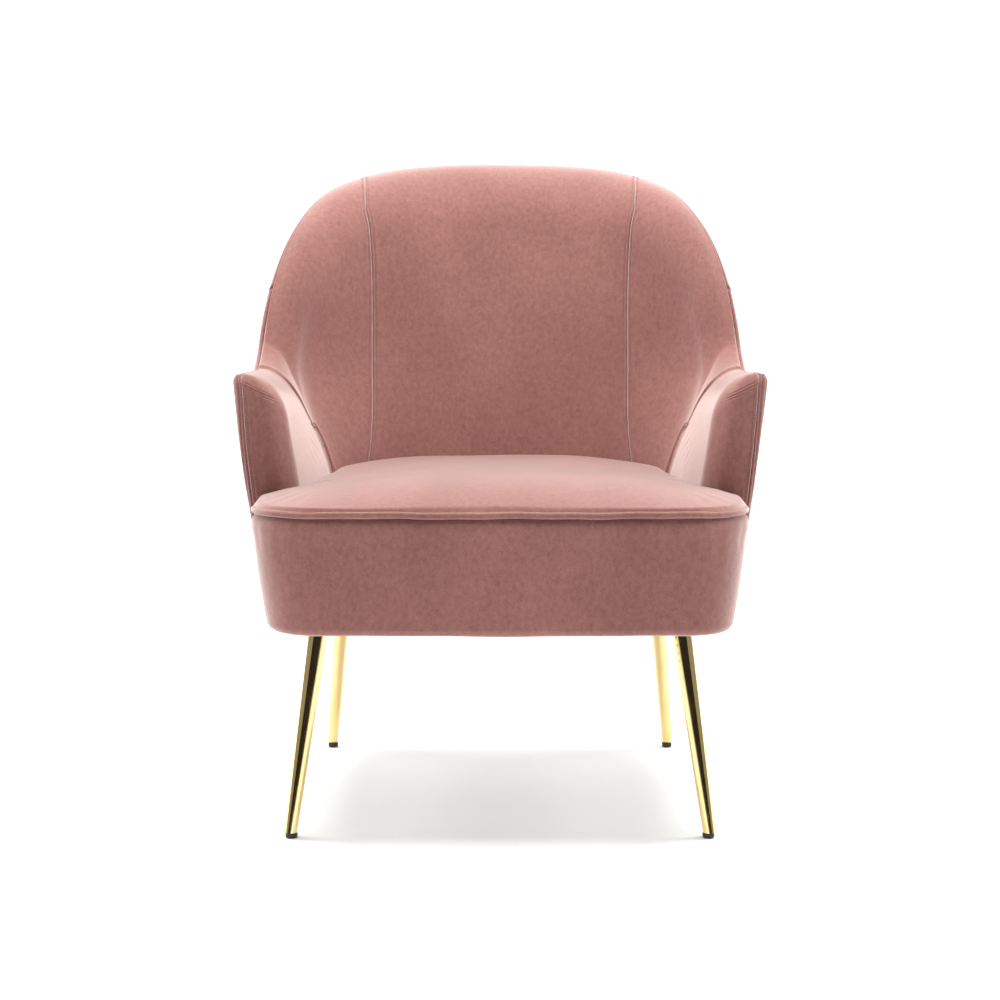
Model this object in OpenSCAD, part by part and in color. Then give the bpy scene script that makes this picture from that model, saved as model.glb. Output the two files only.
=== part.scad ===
// Upholstered armchair: a curved tub shell on a sprung seat base with four tapered metal legs.
// Millimetres. X to the right, Y to the rear, Z up; the origin is on the floor below the middle.

/* [Overall size] */
// Width across the tub at its widest
overall_w = 678; // [600:1:820]
// Height to the top of the back
overall_h = 869; // [780:1:1000]
// Depth from the seat front to the back's rear
overall_d = 700; // [600:1:840]
// Underside of the upholstery above the floor
base_z = 258; // [210:1:320]

/* [Tub shell] */
// Height of the arm's top above the welt
arm_rise = 163; // [120:1:220]
// How much narrower the tub is at each arm's front than at its widest
arm_toe_in = 9; // [0:1:30]
// Where the arm's front ends, ahead of the middle
arm_front_y = 206; // [170:1:250]
// Where the straight sides turn into the rounded rear, behind the middle
corner_y = 80; // [40:1:120]
// Thickness of the arm at its front
arm_t = 54; // [48:1:80]
// Thickness of the side at the rear of the seat
side_t = 84; // [70:1:110]
// Thickness of the side wing above the arm
wing_t = 50; // [48:1:70]
// Thickness of the back at the seat
back_seat_t = 146; // [110:1:200]
// Thickness of the back at its top
back_top_t = 72; // [55:1:100]
// How far the outer back leans rearwards from base to top
back_lean = 88; // [40:1:140]
// Radius of the rolled edge
edge_r = 26; // [18:1:30]

/* [Layers] */
// Thickness of the velvet with its backing
cover_t = 2; // [1:0.5:3]
// Thickness of the fibreboard liner
liner_t = 3; // [2:0.5:5]
// Thickness of the shell's wooden boards
board_t = 20; // [16:1:22]
// Foam above the boards along the rolled edge
edge_foam_t = 14; // [10:1:20]
// Room between the boards and the foam, which holds the back webbing
foam_room = 4.6; // [3:0.1:6]
// Thickness of the webbing
webbing_t = 1.4; // [0.8:0.1:2]
// Gap left between neighbouring layers
layer_gap = 1; // [0.6:0.05:1.2]
// Gap between the end of each arm and its facing
facing_gap = 1.2; // [1:0.1:2]

/* [Seat] */
// Height of the seat's border, from the upholstery's underside to the welt
border_h = 142; // [110:1:180]
// Radius of the welt
welt_r = 3.5; // [2.5:0.5:5]
// Rise of the seat's crown above its edge
seat_crown = 36; // [15:1:60]
// How far the seat's side stands in from the arm's outer side
seat_side_in = 32; // [10:1:60]
// How far the border's lower edge stands in from the arm's outer side
border_side_in = 58; // [40:1:90]
// How far the border's front leans in at its lower edge
border_lean = 12; // [0:1:30]
// Plan radius of the seat's front corners
seat_corner_r = 85; // [60:1:110]
// Forward bow of the seat's front edge
seat_bow = 8; // [0:1:20]
// Thickness of the border padding
padding_t = 10; // [6:1:16]
// Clearance between seat and tub
seat_gap = 2; // [1:0.5:4]

/* [Base frame] */
// Height of the base rails
rail_h = 45; // [35:1:60]
// Thickness of the base rails
rail_t = 40; // [30:1:50]
// Thickness of the dust cover
dust_t = 1.2; // [0.8:0.1:2]
// Wire of the seat springs, across
spring_wire = 3.4; // [2.8:0.1:4]
// Number of seat springs
spring_count = 5; // [3:1:6]
// Thickness of the felt over the springs
felt_t = 3; // [2:0.5:6]

/* [Legs] */
// Front leg's foot, in from the tub's widest side
front_foot_in = 84; // [50:1:120]
// Front leg's foot, ahead of the middle
front_foot_y = 270; // [230:1:300]
// Rear leg's foot, in from the tub's widest side
rear_foot_in = 90; // [50:1:120]
// Rear leg's foot, behind the middle
rear_foot_y = 225; // [180:1:260]
// How far the front leg's top stands in from its foot, sideways
front_splay_x = 33; // [15:1:50]
// How far the front leg's top stands in from its foot, lengthways
front_splay_y = 45; // [15:1:60]
// How far the rear leg's top stands in from its foot, sideways
rear_splay_x = 26; // [15:1:50]
// How far the rear leg's top stands in from its foot, lengthways
rear_splay_y = 84; // [60:1:100]
// Leg diameter at the top
leg_top_d = 25; // [20:0.5:32]
// Leg diameter at the foot
leg_foot_d = 15; // [14:0.5:20]
// Wall of the leg tube
leg_wall = 1.2; // [0.8:0.1:2]
// Side of the square mounting plate
plate_w = 44; // [40:1:60]
// Thickness of the mounting plate
plate_t = 2.5; // [2:0.5:5]
// Distance between the plate's screws
plate_pitch = 30; // [28:1:44]
// Diameter of the wood screws
screw_d = 4; // [3:0.5:5]
// Length of the wood screws
screw_l = 28; // [20:1:35]

/* [Levelling glides] */
// Diameter of the glide's base
glide_d = 14.5; // [12:0.5:20]
// Height of the glide's base
glide_h = 6.7; // [4:0.1:12]
// Diameter of the threaded stem
stem_d = 6; // [5:0.5:8]
// Radial clearance of the stem in its plug
stem_clearance = 0.05; // [0.02:0.01:0.1]
// Length of the stem above the base
stem_l = 13; // [12:1:20]
// Gap between the glide's base and the leg
foot_gap = 0.3; // [0.2:0.05:1]
// Height of the plug in the leg's foot
plug_h = 20; // [18:1:30]

/* [Hidden] */
$fn = 48;

velvet = [0.72, 0.50, 0.48];
velvet_side = [0.66, 0.44, 0.42];
foam_colour = [0.93, 0.88, 0.72];
wood = [0.76, 0.62, 0.42];
gold = [0.86, 0.70, 0.35];
steel = [0.70, 0.71, 0.73];
black = [0.10, 0.10, 0.11];
felt_grey = [0.45, 0.45, 0.47];
board_brown = [0.55, 0.42, 0.30];
wadding = [0.95, 0.95, 0.93];

// ---- small helpers ----
function smooth(k) = let (c = max(0, min(1, k))) c * c * (3 - 2 * c);
function mix(a, b, k) = a + (b - a) * k;
function spow(x, p) = sign(x) * pow(abs(x), p);

// ---- the tub's outer and inner faces, as plan curves that change with height ----
// Each plan curve is half a superellipse round the rear and a straight run along each arm.
// u runs from -1 at the left arm's front through 0 at the middle of the back to 1 at the right.
welt_z = base_z + border_h;
arm_top_z = welt_z + arm_rise;
square_power = 2.6;
rear_share = 0.6;
ref_z = arm_top_z - 8;
rear_half = overall_w / 2;
front_half = rear_half - arm_toe_in;
seat_half_w = front_half - seat_side_in;
border_half_w = front_half - border_side_in;
front_foot_x = rear_half - front_foot_in;
rear_foot_x = rear_half - rear_foot_in;
rear_y = overall_d / 2;
side_lean = 0.108;
side_bow = 0.000137;
wing_lean = -0.019;
wing_bow = 0.000457;
toe_run = 450;
front_bow = 8;
lean_power = 1.3;
// Above the seat, the sides thin out and the inner corner moves back over this height.
wing_rise = 200;
corner_start = 30;
seat_corner_y = corner_y - 40;
wing_corner_y = corner_y + 5;

function front_half_at(z) = let (d = min(z - ref_z, 0))
    front_half + side_lean * d - side_bow * d * d;
function rear_half_at(z) = let (d = z - ref_z)
    d < 0 ? front_half_at(z) + arm_toe_in * (1 + d / toe_run)
          : rear_half + wing_lean * d - wing_bow * d * d;
function rear_y_at(z) = let (t = max(0, (z - base_z) / (overall_h - base_z)))
    rear_y - back_lean * (1 - pow(t, lean_power));
function front_y_at(z) = let (t = max(0, min(1, (z - welt_z) / (arm_top_z - welt_z))))
    -arm_front_y - front_bow * sin(180 * t);

function side_t_at(z) = mix(side_t, wing_t, smooth((z - welt_z) / wing_rise));
function back_t_at(z) = let (t = max(0, min(1, (z - welt_z) / (overall_h - welt_z))))
    mix(back_seat_t, back_top_t, t);
function inner_z(z) = max(z, welt_z);
function inner_corner_y_at(z) =
    mix(seat_corner_y, wing_corner_y, smooth((z - welt_z - corner_start) / wing_rise));
function inner_y_at(z) = rear_y_at(inner_z(z)) - back_t_at(z);

// The angle round the rear curve, spaced so that the points lie evenly along it.
function rear_share_of(u) = min(1, abs(u) / rear_share);
function even(t) = let (k = square_power / 2, a = pow(t, k), b = pow(1 - t, k)) a / (a + b);
function angle_of(u) = 90 * even(rear_share_of(u));
function arm_share_of(u) = max(0, (abs(u) - rear_share) / (1 - rear_share));

function outer_xy(u, z) = let (
        a = rear_half_at(z), f = front_half_at(z), s = arm_share_of(u), p = angle_of(u),
        x = s > 0 ? mix(a, f, pow(s, 1.5)) : a * pow(sin(p), 2 / square_power),
        y = s > 0 ? mix(corner_y, front_y_at(z), s)
                  : mix(corner_y, rear_y_at(z), pow(cos(p), 2 / square_power)))
    [sign(u) * x, y];
function inner_xy(u, z) = let (
        zi = inner_z(z), a = rear_half_at(zi) - side_t_at(z), f = front_half_at(zi) - arm_t,
        c = inner_corner_y_at(z), s = arm_share_of(u), p = angle_of(u),
        x = s > 0 ? mix(a, f, s) : a * pow(sin(p), 2 / square_power),
        y = s > 0 ? mix(c, front_y_at(z), s) : mix(c, inner_y_at(z), pow(cos(p), 2 / square_power)))
    [sign(u) * x, y];

// Height of the rolled edge: the back's arch, its fall to the arms, and the level arms.
arch_drop = 272;
arch_shares = [0.296, 0.424, 0.28];
// The share of the arm's length over which the wing comes down to the level arm.
wing_fall = 0.26;
function arch(f) = arch_shares[0] * pow(f, 2) + arch_shares[1] * pow(f, 4) + arch_shares[2] * pow(f, 8);
function crest_z(u) = let (s = arm_share_of(u), run = max(0, 1 - s / wing_fall))
    s > 0 ? mix(arm_top_z, overall_h - arch_drop, run * run)
          : overall_h - arch_drop * arch(even(rear_share_of(u)));

// A point across the wall at one height. w is 0 at the outer face and 1 at the inner face;
// the offsets hold it away from each.
function across(u, z, w, from_outer, from_inner) = let (
        o = outer_xy(u, z), i = inner_xy(u, z), l = norm(i - o),
        k = from_outer / l + (1 - (from_outer + from_inner) / l) * w, q = o + (i - o) * k)
    [q[0], q[1], z];

// A point on the wall's skin: s is 0 to 1 up the outer face, 1 to 2 over the roll and 2 to 3 down
// the inner face to its own lower edge.
roll_power = 2.4;
roll_share = 0.3;
inner_base_z = welt_z - 60;
function skin(u, s, from_outer, from_inner, from_top) = let (
        top = crest_z(u) - from_top, r = edge_r - roll_share * from_top, shoulder = top - r,
        a = 180 * max(0, min(1, s - 1)),
        w = (1 - spow(cos(a), 2 / roll_power)) / 2,
        z = s < 1 ? mix(base_z, shoulder, s)
          : s > 2 ? mix(shoulder, inner_base_z, s - 2)
          : shoulder + r * pow(sin(a), 2 / roll_power))
    across(u, z, w, from_outer, from_inner);

// A point on the boards' faces: v is 0 at the base and 1 along their top.
board_out = cover_t + liner_t + 2 * layer_gap;
board_drop = cover_t + edge_foam_t;
function board_top_z(u) = crest_z(u) - board_drop;
function board(u, v, depth) = let (z = mix(base_z + dust_t + layer_gap, board_top_z(u), v),
        o = outer_xy(u, z), i = inner_xy(u, z), q = o + (i - o) * ((board_out + depth) / norm(i - o)))
    [q[0], q[1], z];
// The foam's inner skin follows the boards: over their top for s from 1 to 2, then down.
function foam_bed(u, s) = let (
        a = 180 * max(0, min(1, s - 1)), w = (1 - spow(cos(a), 2 / roll_power)) / 2,
        depth = board_t + foam_room,
        top = board_top_z(u) + foam_room / 2,
        z = s > 2 ? mix(top, inner_base_z, s - 2) : top,
        o = outer_xy(u, z), i = inner_xy(u, z),
        q = o + (i - o) * ((board_out + mix(0, depth, w)) / norm(i - o)))
    [q[0], q[1], z];

// ---- grids of points ----
side_steps = [0, 0.12, 0.21, 0.3, 0.36, 0.42, 0.49, 0.56, 0.64, 0.72, 0.8, 0.88, 0.94, 1];
roll_steps = [for (k = [1 : 5]) 1 + k / 6];
seam_s = 1 + 1 / 6;
outer_steps = concat(side_steps, [seam_s]);
inner_steps = concat(roll_steps, [for (v = side_steps) 2 + v]);

seam_u = 0.24;
post_u = 0.42;
wing_u = 0.52;
joint_u = 0.64;
post_end_u = 0.92;
half_u = [0, 0.04, 0.08, 0.12, 0.16, 0.20, seam_u, 0.27, 0.30, 0.33, 0.36, 0.39, post_u, 0.445, 0.47,
          0.495, wing_u, 0.54, 0.56, 0.58, 0.60, 0.62, joint_u, 0.675, 0.71, 0.78, 0.85, post_end_u, 1];
all_u = concat([for (k = [len(half_u) - 1 : -1 : 1]) -half_u[k]], half_u);
function u_between(a, b) = [for (u = all_u) if (u >= a - 0.001 && u <= b + 0.001) u];

// The inner covers' seams run straight up, so the lines near them move with the height.
seam_x = 190;
flare = 28;
flare_z = welt_z + 200;
function seam_flare(z) = flare * pow(max(0, (flare_z - z) / 200), 2);
widest = 0.97;
function u_at_x(x, z) = let (
        a = rear_half_at(inner_z(z)) - side_t_at(z),
        f = asin(pow(min(widest, x / a), square_power / 2)) / 90,
        r = pow(f / (1 - f), 2 / square_power))
    rear_share * r / (1 + r);
function warped_u(u, s) = let (
        z = mix(crest_z(seam_u), inner_base_z, max(0, s - 2)),
        seam = u_at_x(seam_x + seam_flare(z), z), m = abs(u),
        moved = m <= seam_u ? m * seam / seam_u
              : m >= joint_u ? m
              : mix(seam, joint_u, (m - seam_u) / (joint_u - seam_u)))
    sign(u) * mix(m, moved, max(0, min(1, (s - seam_s) * 2)));

// ---- solids between two grids ----
// Both grids have the same rows and columns. The diagonal is mirrored on the left half, so that
// neighbouring layers share their facets.
module sheet_between(outer, inner, us) {
    rows = len(outer);
    cols = len(outer[0]);
    count = rows * cols;
    points = concat([for (row = outer) each row], [for (row = inner) each row]);
    function left(i) = us[i] + us[i + 1] < 0;
    function id(i, j) = i * cols + j;
    function quad(i, j, b, flip) = let (p = id(i, j) + b, q = id(i + 1, j) + b,
            r = id(i + 1, j + 1) + b, t = id(i, j + 1) + b,
            tris = left(i) ? [[p, q, t], [q, r, t]] : [[p, q, r], [p, r, t]])
        flip ? [for (f = tris) [f[0], f[2], f[1]]] : tris;
    // Two ways to split a wall, so that pieces that meet end to end share their facets.
    function wall(a, b) = [[a, a + count, b + count], [a, b + count, b]];
    function start_wall(a, b) = [[a, a + count, b], [a + count, b + count, b]];
    faces = concat(
        [for (i = [0 : rows - 2], j = [0 : cols - 2]) each quad(i, j, 0, false)],
        [for (i = [0 : rows - 2], j = [0 : cols - 2]) each quad(i, j, count, true)],
        [for (i = [0 : rows - 2]) each wall(id(i, 0), id(i + 1, 0))],
        [for (i = [0 : rows - 2]) each start_wall(id(i + 1, cols - 1), id(i, cols - 1))],
        [for (j = [0 : cols - 2]) each start_wall(id(0, j + 1), id(0, j))],
        [for (j = [0 : cols - 2]) each wall(id(rows - 1, j), id(rows - 1, j + 1))]);
    polyhedron(points, faces);
}

// A solid between two stacks of closed loops, each listed from the middle outwards.
module domed(upper, lower, upper_mid, lower_mid) {
    n = len(upper[0]);
    a = len(upper);
    b = len(lower);
    first_low = 1 + a * n;
    points = concat([upper_mid], [for (l = upper) each l], [lower_mid], [for (l = lower) each l]);
    function hi(k, i) = 1 + k * n + (i % n);
    function lo(k, i) = first_low + 1 + k * n + (i % n);
    faces = concat(
        [for (i = [0 : n - 1]) [0, hi(0, i + 1), hi(0, i)]],
        [for (k = [0 : 1 : a - 2], i = [0 : n - 1])
            each [[hi(k, i), hi(k, i + 1), hi(k + 1, i + 1)], [hi(k, i), hi(k + 1, i + 1), hi(k + 1, i)]]],
        [for (i = [0 : n - 1]) [first_low, lo(0, i), lo(0, i + 1)]],
        [for (k = [0 : 1 : b - 2], i = [0 : n - 1])
            each [[lo(k, i), lo(k + 1, i + 1), lo(k, i + 1)], [lo(k, i), lo(k + 1, i), lo(k + 1, i + 1)]]],
        [for (i = [0 : n - 1])
            each [[hi(a - 1, i), hi(a - 1, i + 1), lo(b - 1, i + 1)],
                  [hi(a - 1, i), lo(b - 1, i + 1), lo(b - 1, i)]]]);
    polyhedron(points, faces);
}

// ---- tub shell pieces ----
module shell_board(u0, u1, v0, v1) {
    us = u_between(u0, u1);
    vs = concat([v0], [for (v = side_steps) if (v > v0 + 0.01 && v < v1 - 0.01) v], [v1]);
    color(wood) sheet_between(
        [for (u = us) [for (v = vs) board(u, v, 0)]],
        [for (u = us) [for (v = vs) board(u, v, board_t)]], us);
}
// Shares of the boards' height: the rails' own height, and the two edges of the middle rail.
rail_v = 0.12;
seat_v0 = 0.3;
seat_v1 = 0.42;
module back_top_rail() { shell_board(-post_u, post_u, 1 - rail_v, 1); }
module back_middle_rail() { shell_board(-post_u, post_u, seat_v0, seat_v1); }
module back_lower_rail() { shell_board(-post_u, post_u, 0, rail_v); }
module left_back_post() { shell_board(-wing_u, -post_u, 0, 1); }
module right_back_post() { shell_board(post_u, wing_u, 0, 1); }
module left_arm_rail() { shell_board(-post_end_u, -wing_u, 1 - rail_v, 1); }
module right_arm_rail() { shell_board(wing_u, post_end_u, 1 - rail_v, 1); }
module left_arm_sill() { shell_board(-post_end_u, -wing_u, 0, rail_v); }
module right_arm_sill() { shell_board(wing_u, post_end_u, 0, rail_v); }
module left_arm_post() { shell_board(-1, -post_end_u, 0, 1); }
module right_arm_post() { shell_board(post_end_u, 1, 0, 1); }

// Elastic straps up the back's inside, from the middle rail to the top rail.
strap_u = [[-0.36, -0.30], [-seam_u, -0.16], [-0.08, 0], [0.08, 0.16], [seam_u, 0.30]];
strap_v0 = seat_v0 + rail_v / 3;
strap_v1 = 1 - rail_v / 3;
module back_webbing() {
    depth = board_t + layer_gap;
    vs = concat([strap_v0], [for (v = side_steps) if (v > strap_v0 && v < strap_v1) v], [strap_v1]);
    color(black) for (strap = strap_u) {
        us = u_between(strap[0], strap[1]);
        sheet_between(
            [for (u = us) [for (v = vs) board(u, v, depth)]],
            [for (u = us) [for (v = vs) board(u, v, depth + webbing_t)]], us);
    }
}

module shell_liner(u0, u1) {
    us = u_between(u0, u1);
    near = cover_t + layer_gap;
    color(board_brown) sheet_between(
        [for (u = us) [for (v = side_steps) skin(u, v, near, 0, board_drop)]],
        [for (u = us) [for (v = side_steps) skin(u, v, near + liner_t, 0, board_drop)]], us);
}
module back_liner() { shell_liner(-wing_u, wing_u); }
module left_arm_liner() { shell_liner(-1, -wing_u); }
module right_arm_liner() { shell_liner(wing_u, 1); }

module shell_foam(u0, u1) {
    us = u_between(u0, u1);
    t = cover_t + layer_gap;
    color(foam_colour) sheet_between(
        [for (u = us) [for (s = inner_steps) skin(warped_u(u, s), s, t, t, t)]],
        [for (u = us) [for (s = inner_steps) foam_bed(u, s)]], us);
}
module back_foam() { shell_foam(-joint_u, joint_u); }
module left_arm_foam() { shell_foam(-1, -joint_u); }
module right_arm_foam() { shell_foam(joint_u, 1); }

module inner_cover(u0, u1) {
    us = u_between(u0, u1);
    color(velvet) sheet_between(
        [for (u = us) [for (s = inner_steps) skin(warped_u(u, s), s, 0, 0, 0)]],
        [for (u = us) [for (s = inner_steps) skin(warped_u(u, s), s, cover_t, cover_t, cover_t)]], us);
}
module back_centre_cover() { inner_cover(-seam_u, seam_u); }
module back_left_cover() { inner_cover(-joint_u, -seam_u); }
module back_right_cover() { inner_cover(seam_u, joint_u); }
module left_arm_cover() { inner_cover(-1, -joint_u); }
module right_arm_cover() { inner_cover(joint_u, 1); }

module outer_cover(u0, u1) {
    us = u_between(u0, u1);
    color(velvet_side) sheet_between(
        [for (u = us) [for (s = outer_steps) skin(u, s, 0, 0, 0)]],
        [for (u = us) [for (s = outer_steps) skin(u, s, cover_t, cover_t, cover_t)]], us);
}
module outer_back_cover() { outer_cover(-wing_u, wing_u); }
module left_outer_cover() { outer_cover(-1, -wing_u); }
module right_outer_cover() { outer_cover(wing_u, 1); }

// The padded facing that closes each arm's front.
facing_t = 10;
facing_inset = 5;
// Below this step the facing's inner edge stands outside the base frame.
beside_frame = 0.4;
module arm_facing(side) {
    up = concat(side_steps, [for (k = [1 : 3]) 1 + k / 6]);
    function edge(s, inset, y) = let (p = skin(side, s, inset, inset, inset)) [p[0], p[1] - y, p[2]];
    function inner_edge(s, inset, y) = let (
            z = edge(s, inset, y)[2], w = s > 1 ? (1 + cos(180 * (s - 1)) ^ (2 / roll_power)) / 2 : 1,
            p = across(side, z, w, inset, inset),
            clear = frame_half + layer_gap + inset)
        [s < beside_frame ? side * max(abs(p[0]), clear) : p[0], p[1] - y, z];
    function row(inset, y) = [[for (s = up) edge(s, inset, y)], [for (s = up) inner_edge(s, inset, y)]];
    back_row = row(0, facing_gap);
    mid_row = row(0, facing_gap + facing_t / 2);
    front_row = row(facing_inset, facing_gap + facing_t);
    n = len(up);
    top = n - 1;
    // Each level is a loop: up the outer edge, then down the inner edge.
    function loop(r) = concat(r[0], [for (k = [top - 1 : -1 : 0]) r[1][k]]);
    loops = [loop(back_row), loop(mid_row), loop(front_row)];
    m = len(loops[0]);
    function strip(base, flip) = [for (k = [0 : top - 1]) let (
            a = base + k, b = base + k + 1, c = base + (m - 1 - k), d = base + (m - 2 - k))
        each (b == d ? [flip ? [a, c, b] : [a, b, c]]
                     : flip ? [[a, c, b], [c, d, b]] : [[a, b, c], [c, b, d]])];
    function band(p, q) = [for (i = [0 : m - 1]) let (j = (i + 1) % m)
        each [[p + i, q + i, q + j], [p + i, q + j, p + j]]];
    faces = concat(strip(0, side < 0), strip(2 * m, side > 0),
        [for (f = concat(band(0, m), band(m, 2 * m))) side > 0 ? f : [f[0], f[2], f[1]]]);
    color(velvet) polyhedron([for (l = loops) each l], [for (f = faces) [f[0], f[2], f[1]]]);
}
module left_arm_facing() { arm_facing(-1); }
module right_arm_facing() { arm_facing(1); }

// ---- seat block ----
seat_front_y = overall_d / 2;
step_y = -(arm_front_y + front_bow / 2 + facing_gap + facing_t + seat_gap);
arc_steps = 6;
front_steps = 6;
// The front outline runs from the right end, round the front, to the left end.
function front_outline(hw, fy, r, bow, end_y = step_y) = concat(
    [[hw, end_y]],
    [for (k = [0 : arc_steps]) let (a = -90 * k / arc_steps)
        [hw - r + r * cos(a), -(fy - bow) + r + r * sin(a)]],
    [for (k = [1 : front_steps - 1]) let (x = mix(hw - r, -(hw - r), k / front_steps))
        [x, -(fy - bow) - bow * (1 - pow(x / (hw - r), 2))]],
    [for (k = [arc_steps : -1 : 0]) let (a = -90 * k / arc_steps)
        [-(hw - r + r * cos(a)), -(fy - bow) + r + r * sin(a)]],
    [[-hw, end_y]]);
function rim_inner(u, inset) = let (p = inner_xy(u, welt_z), c = [0, seat_corner_y - 40],
        d = p - c) c + d * (1 - inset / norm(d));
function rear_outline(inset, end_y) = let (n = len(all_u) - 1, end_x = inner_xy(1, welt_z)[0] - inset)
    concat([[-end_x, end_y]], [for (k = [1 : n - 1]) rim_inner(all_u[k], inset)], [[end_x, end_y]]);
function seat_outline(inset) = let (end_y = step_y - inset)
    concat(rear_outline(inset + seat_gap, end_y),
        front_outline(seat_half_w - inset, seat_front_y - inset, seat_corner_r - inset, seat_bow, end_y));
hub_ahead = 20;
hub = [0, step_y - hub_ahead];

// The seat's crown rises over this run behind the welt and fades towards the sides.
rise_run = 150;
rise_power = 2.4;
fade = 0.8;
fade_power = 2.6;
function front_line(x) = -(seat_front_y - seat_bow * pow(min(1, abs(x) / (seat_half_w - seat_corner_r)), 2))
    + (abs(x) > seat_half_w - seat_corner_r
        ? seat_corner_r - sqrt(max(0, pow(seat_corner_r, 2)
            - pow(min(seat_corner_r, abs(x) - seat_half_w + seat_corner_r), 2))) : 0);
function seat_z(x, y) = let (d = max(0, min(1, (y - front_line(x)) / rise_run)))
    welt_z + welt_r + layer_gap + 1.5 * cover_t
    + seat_crown * (1 - pow(1 - d, rise_power))
      * (1 - fade * pow(min(1, abs(x) / seat_half_w), fade_power));
rings = [0.3, 0.55, 0.75, 0.9, 1];
function scaled(loop, k) = [for (p = loop) hub + (p - hub) * k];
function lifted(loop, drop) = [for (p = loop) [p[0], p[1], seat_z(p[0], p[1]) - drop]];
function at_z(loop, z) = [for (p = loop) [p[0], p[1], z]];

module seat_top_cover() {
    rim = seat_outline(0);
    inset = seat_outline(cover_t);
    low = welt_z + welt_r + layer_gap;
    color(velvet) domed(
        concat([for (k = rings) lifted(scaled(rim, k), 0)], [at_z(rim, low)]),
        concat([for (k = rings) lifted(scaled(inset, k), cover_t)], [at_z(inset, low)]),
        [hub[0], hub[1], seat_z(hub[0], hub[1])], [hub[0], hub[1], seat_z(hub[0], hub[1]) - cover_t]);
}

clip_w = 14;
clip_t = 1.2;
clip_l = 12;
rail_z0 = base_z + dust_t + layer_gap;
rail_z1 = rail_z0 + rail_h;
spring_z = rail_z1 + clip_t + layer_gap;
felt_z = spring_z + spring_wire + layer_gap;
foam_z = felt_z + felt_t + layer_gap;
foam_inset = cover_t + welt_r + layer_gap;
border_top = welt_z - welt_r - layer_gap;
border_levels = [0, 0.25, 0.55, 1];
// The border's outline at a share v of its height; it swells towards the welt.
swell_power = 1.6;
function border_swell(v) = 1 - pow(1 - v, swell_power);
function border_outline(v, inset, end_y = step_y) = let (k = border_swell(v))
    front_outline(mix(border_half_w, seat_half_w, k) - inset,
        seat_front_y - border_lean * (1 - k) - inset, seat_corner_r - inset, seat_bow, end_y);
function border_loop(v, inset) = at_z(border_outline(v, inset), mix(base_z, border_top, v));

module seat_foam() {
    rim = seat_outline(foam_inset);
    end_y = step_y - foam_inset;
    v_low = (foam_z - base_z) / (border_top - base_z);
    function side(v) = at_z(concat(rear_outline(foam_inset + seat_gap, end_y),
        border_outline(v, foam_inset, end_y)), mix(base_z, border_top, v));
    color(foam_colour) domed(
        concat([for (k = rings) lifted(scaled(rim, k), cover_t + layer_gap)],
            [for (v = [1, border_levels[2]]) side(v)]),
        [side(v_low)],
        [hub[0], hub[1], seat_z(hub[0], hub[1]) - cover_t - layer_gap], [hub[0], hub[1], foam_z]);
}
function transposed(rows) = [for (j = [0 : len(rows[0]) - 1]) [for (row = rows) row[j]]];
function ascending(n) = [for (k = [0 : n - 1]) k + 1];
module seat_border_cover() {
    outer = transposed([for (v = border_levels) border_loop(v, 0)]);
    inner = transposed([for (v = border_levels) border_loop(v, cover_t)]);
    color(velvet) sheet_between(outer, inner, ascending(len(outer)));
}
frame_half = rear_half_at(base_z) - board_out - board_t - 2 * layer_gap;
frame_front = seat_front_y - border_lean - cover_t - padding_t;
function frame_front_outline(inset) = front_outline(
    min(frame_half, border_half_w - cover_t - padding_t) - inset, frame_front - inset,
    seat_corner_r - padding_t - inset, seat_bow);
module seat_border_padding() {
    v_top = (rail_z1 - base_z) / (border_top - base_z);
    v_low = (rail_z0 - base_z) / (border_top - base_z);
    outer = transposed([for (v = [v_low, v_top]) border_loop(v, cover_t + layer_gap)]);
    inner = transposed([for (z = [rail_z0, rail_z1]) at_z(frame_front_outline(-layer_gap), z)]);
    color(wadding) sheet_between(outer, inner, ascending(len(outer)));
}

// The welt is swept along the seam between top and border.
welt_sides = 8;
module seat_welt() {
    path = front_outline(seat_half_w - 1, seat_front_y - 1, seat_corner_r - 1, seat_bow);
    n = len(path);
    function heading(i) = let (a = path[max(0, i - 1)], b = path[min(n - 1, i + 1)]) (b - a) / norm(b - a);
    function ring(i) = let (t = heading(i), side = [-t[1], t[0]])
        [for (k = [0 : welt_sides - 1]) let (a = 360 * k / welt_sides)
            [path[i][0] + side[0] * welt_r * cos(a), path[i][1] + side[1] * welt_r * cos(a),
             welt_z + welt_r * sin(a)]];
    m = welt_sides;
    color(velvet) polyhedron([for (i = [0 : n - 1]) each ring(i)], concat(
        [[for (k = [0 : m - 1]) k]], [[for (k = [m - 1 : -1 : 0]) (n - 1) * m + k]],
        [for (i = [0 : n - 2], k = [0 : m - 1]) let (a = i * m + k, b = i * m + (k + 1) % m)
            each [[a, a + m, b + m], [a, b + m, b]]]));
}

// ---- base frame ----
frame_rear = rear_y_at(base_z) - board_out - board_t - 2 * layer_gap;
rear_steps = 8;
function frame_rear_outline(inset) = [for (k = [-rear_steps : rear_steps]) let (p = 90 * k / rear_steps)
    [sign(k) * (frame_half - inset) * pow(abs(sin(p)), 2 / square_power),
     corner_y + (frame_rear - inset - corner_y) * pow(cos(p), 2 / square_power)]];
module frame_outline(inset) {
    polygon(concat(frame_rear_outline(inset),
        [for (p = frame_front_outline(inset)) if (abs(p[0]) < frame_half || p[1] < step_y) p]));
}
module frame_ring() {
    difference() {
        frame_outline(0);
        frame_outline(rail_t);
    }
}
side_y0 = -(frame_front - seat_corner_r);
side_y1 = corner_y + 20;
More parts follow.
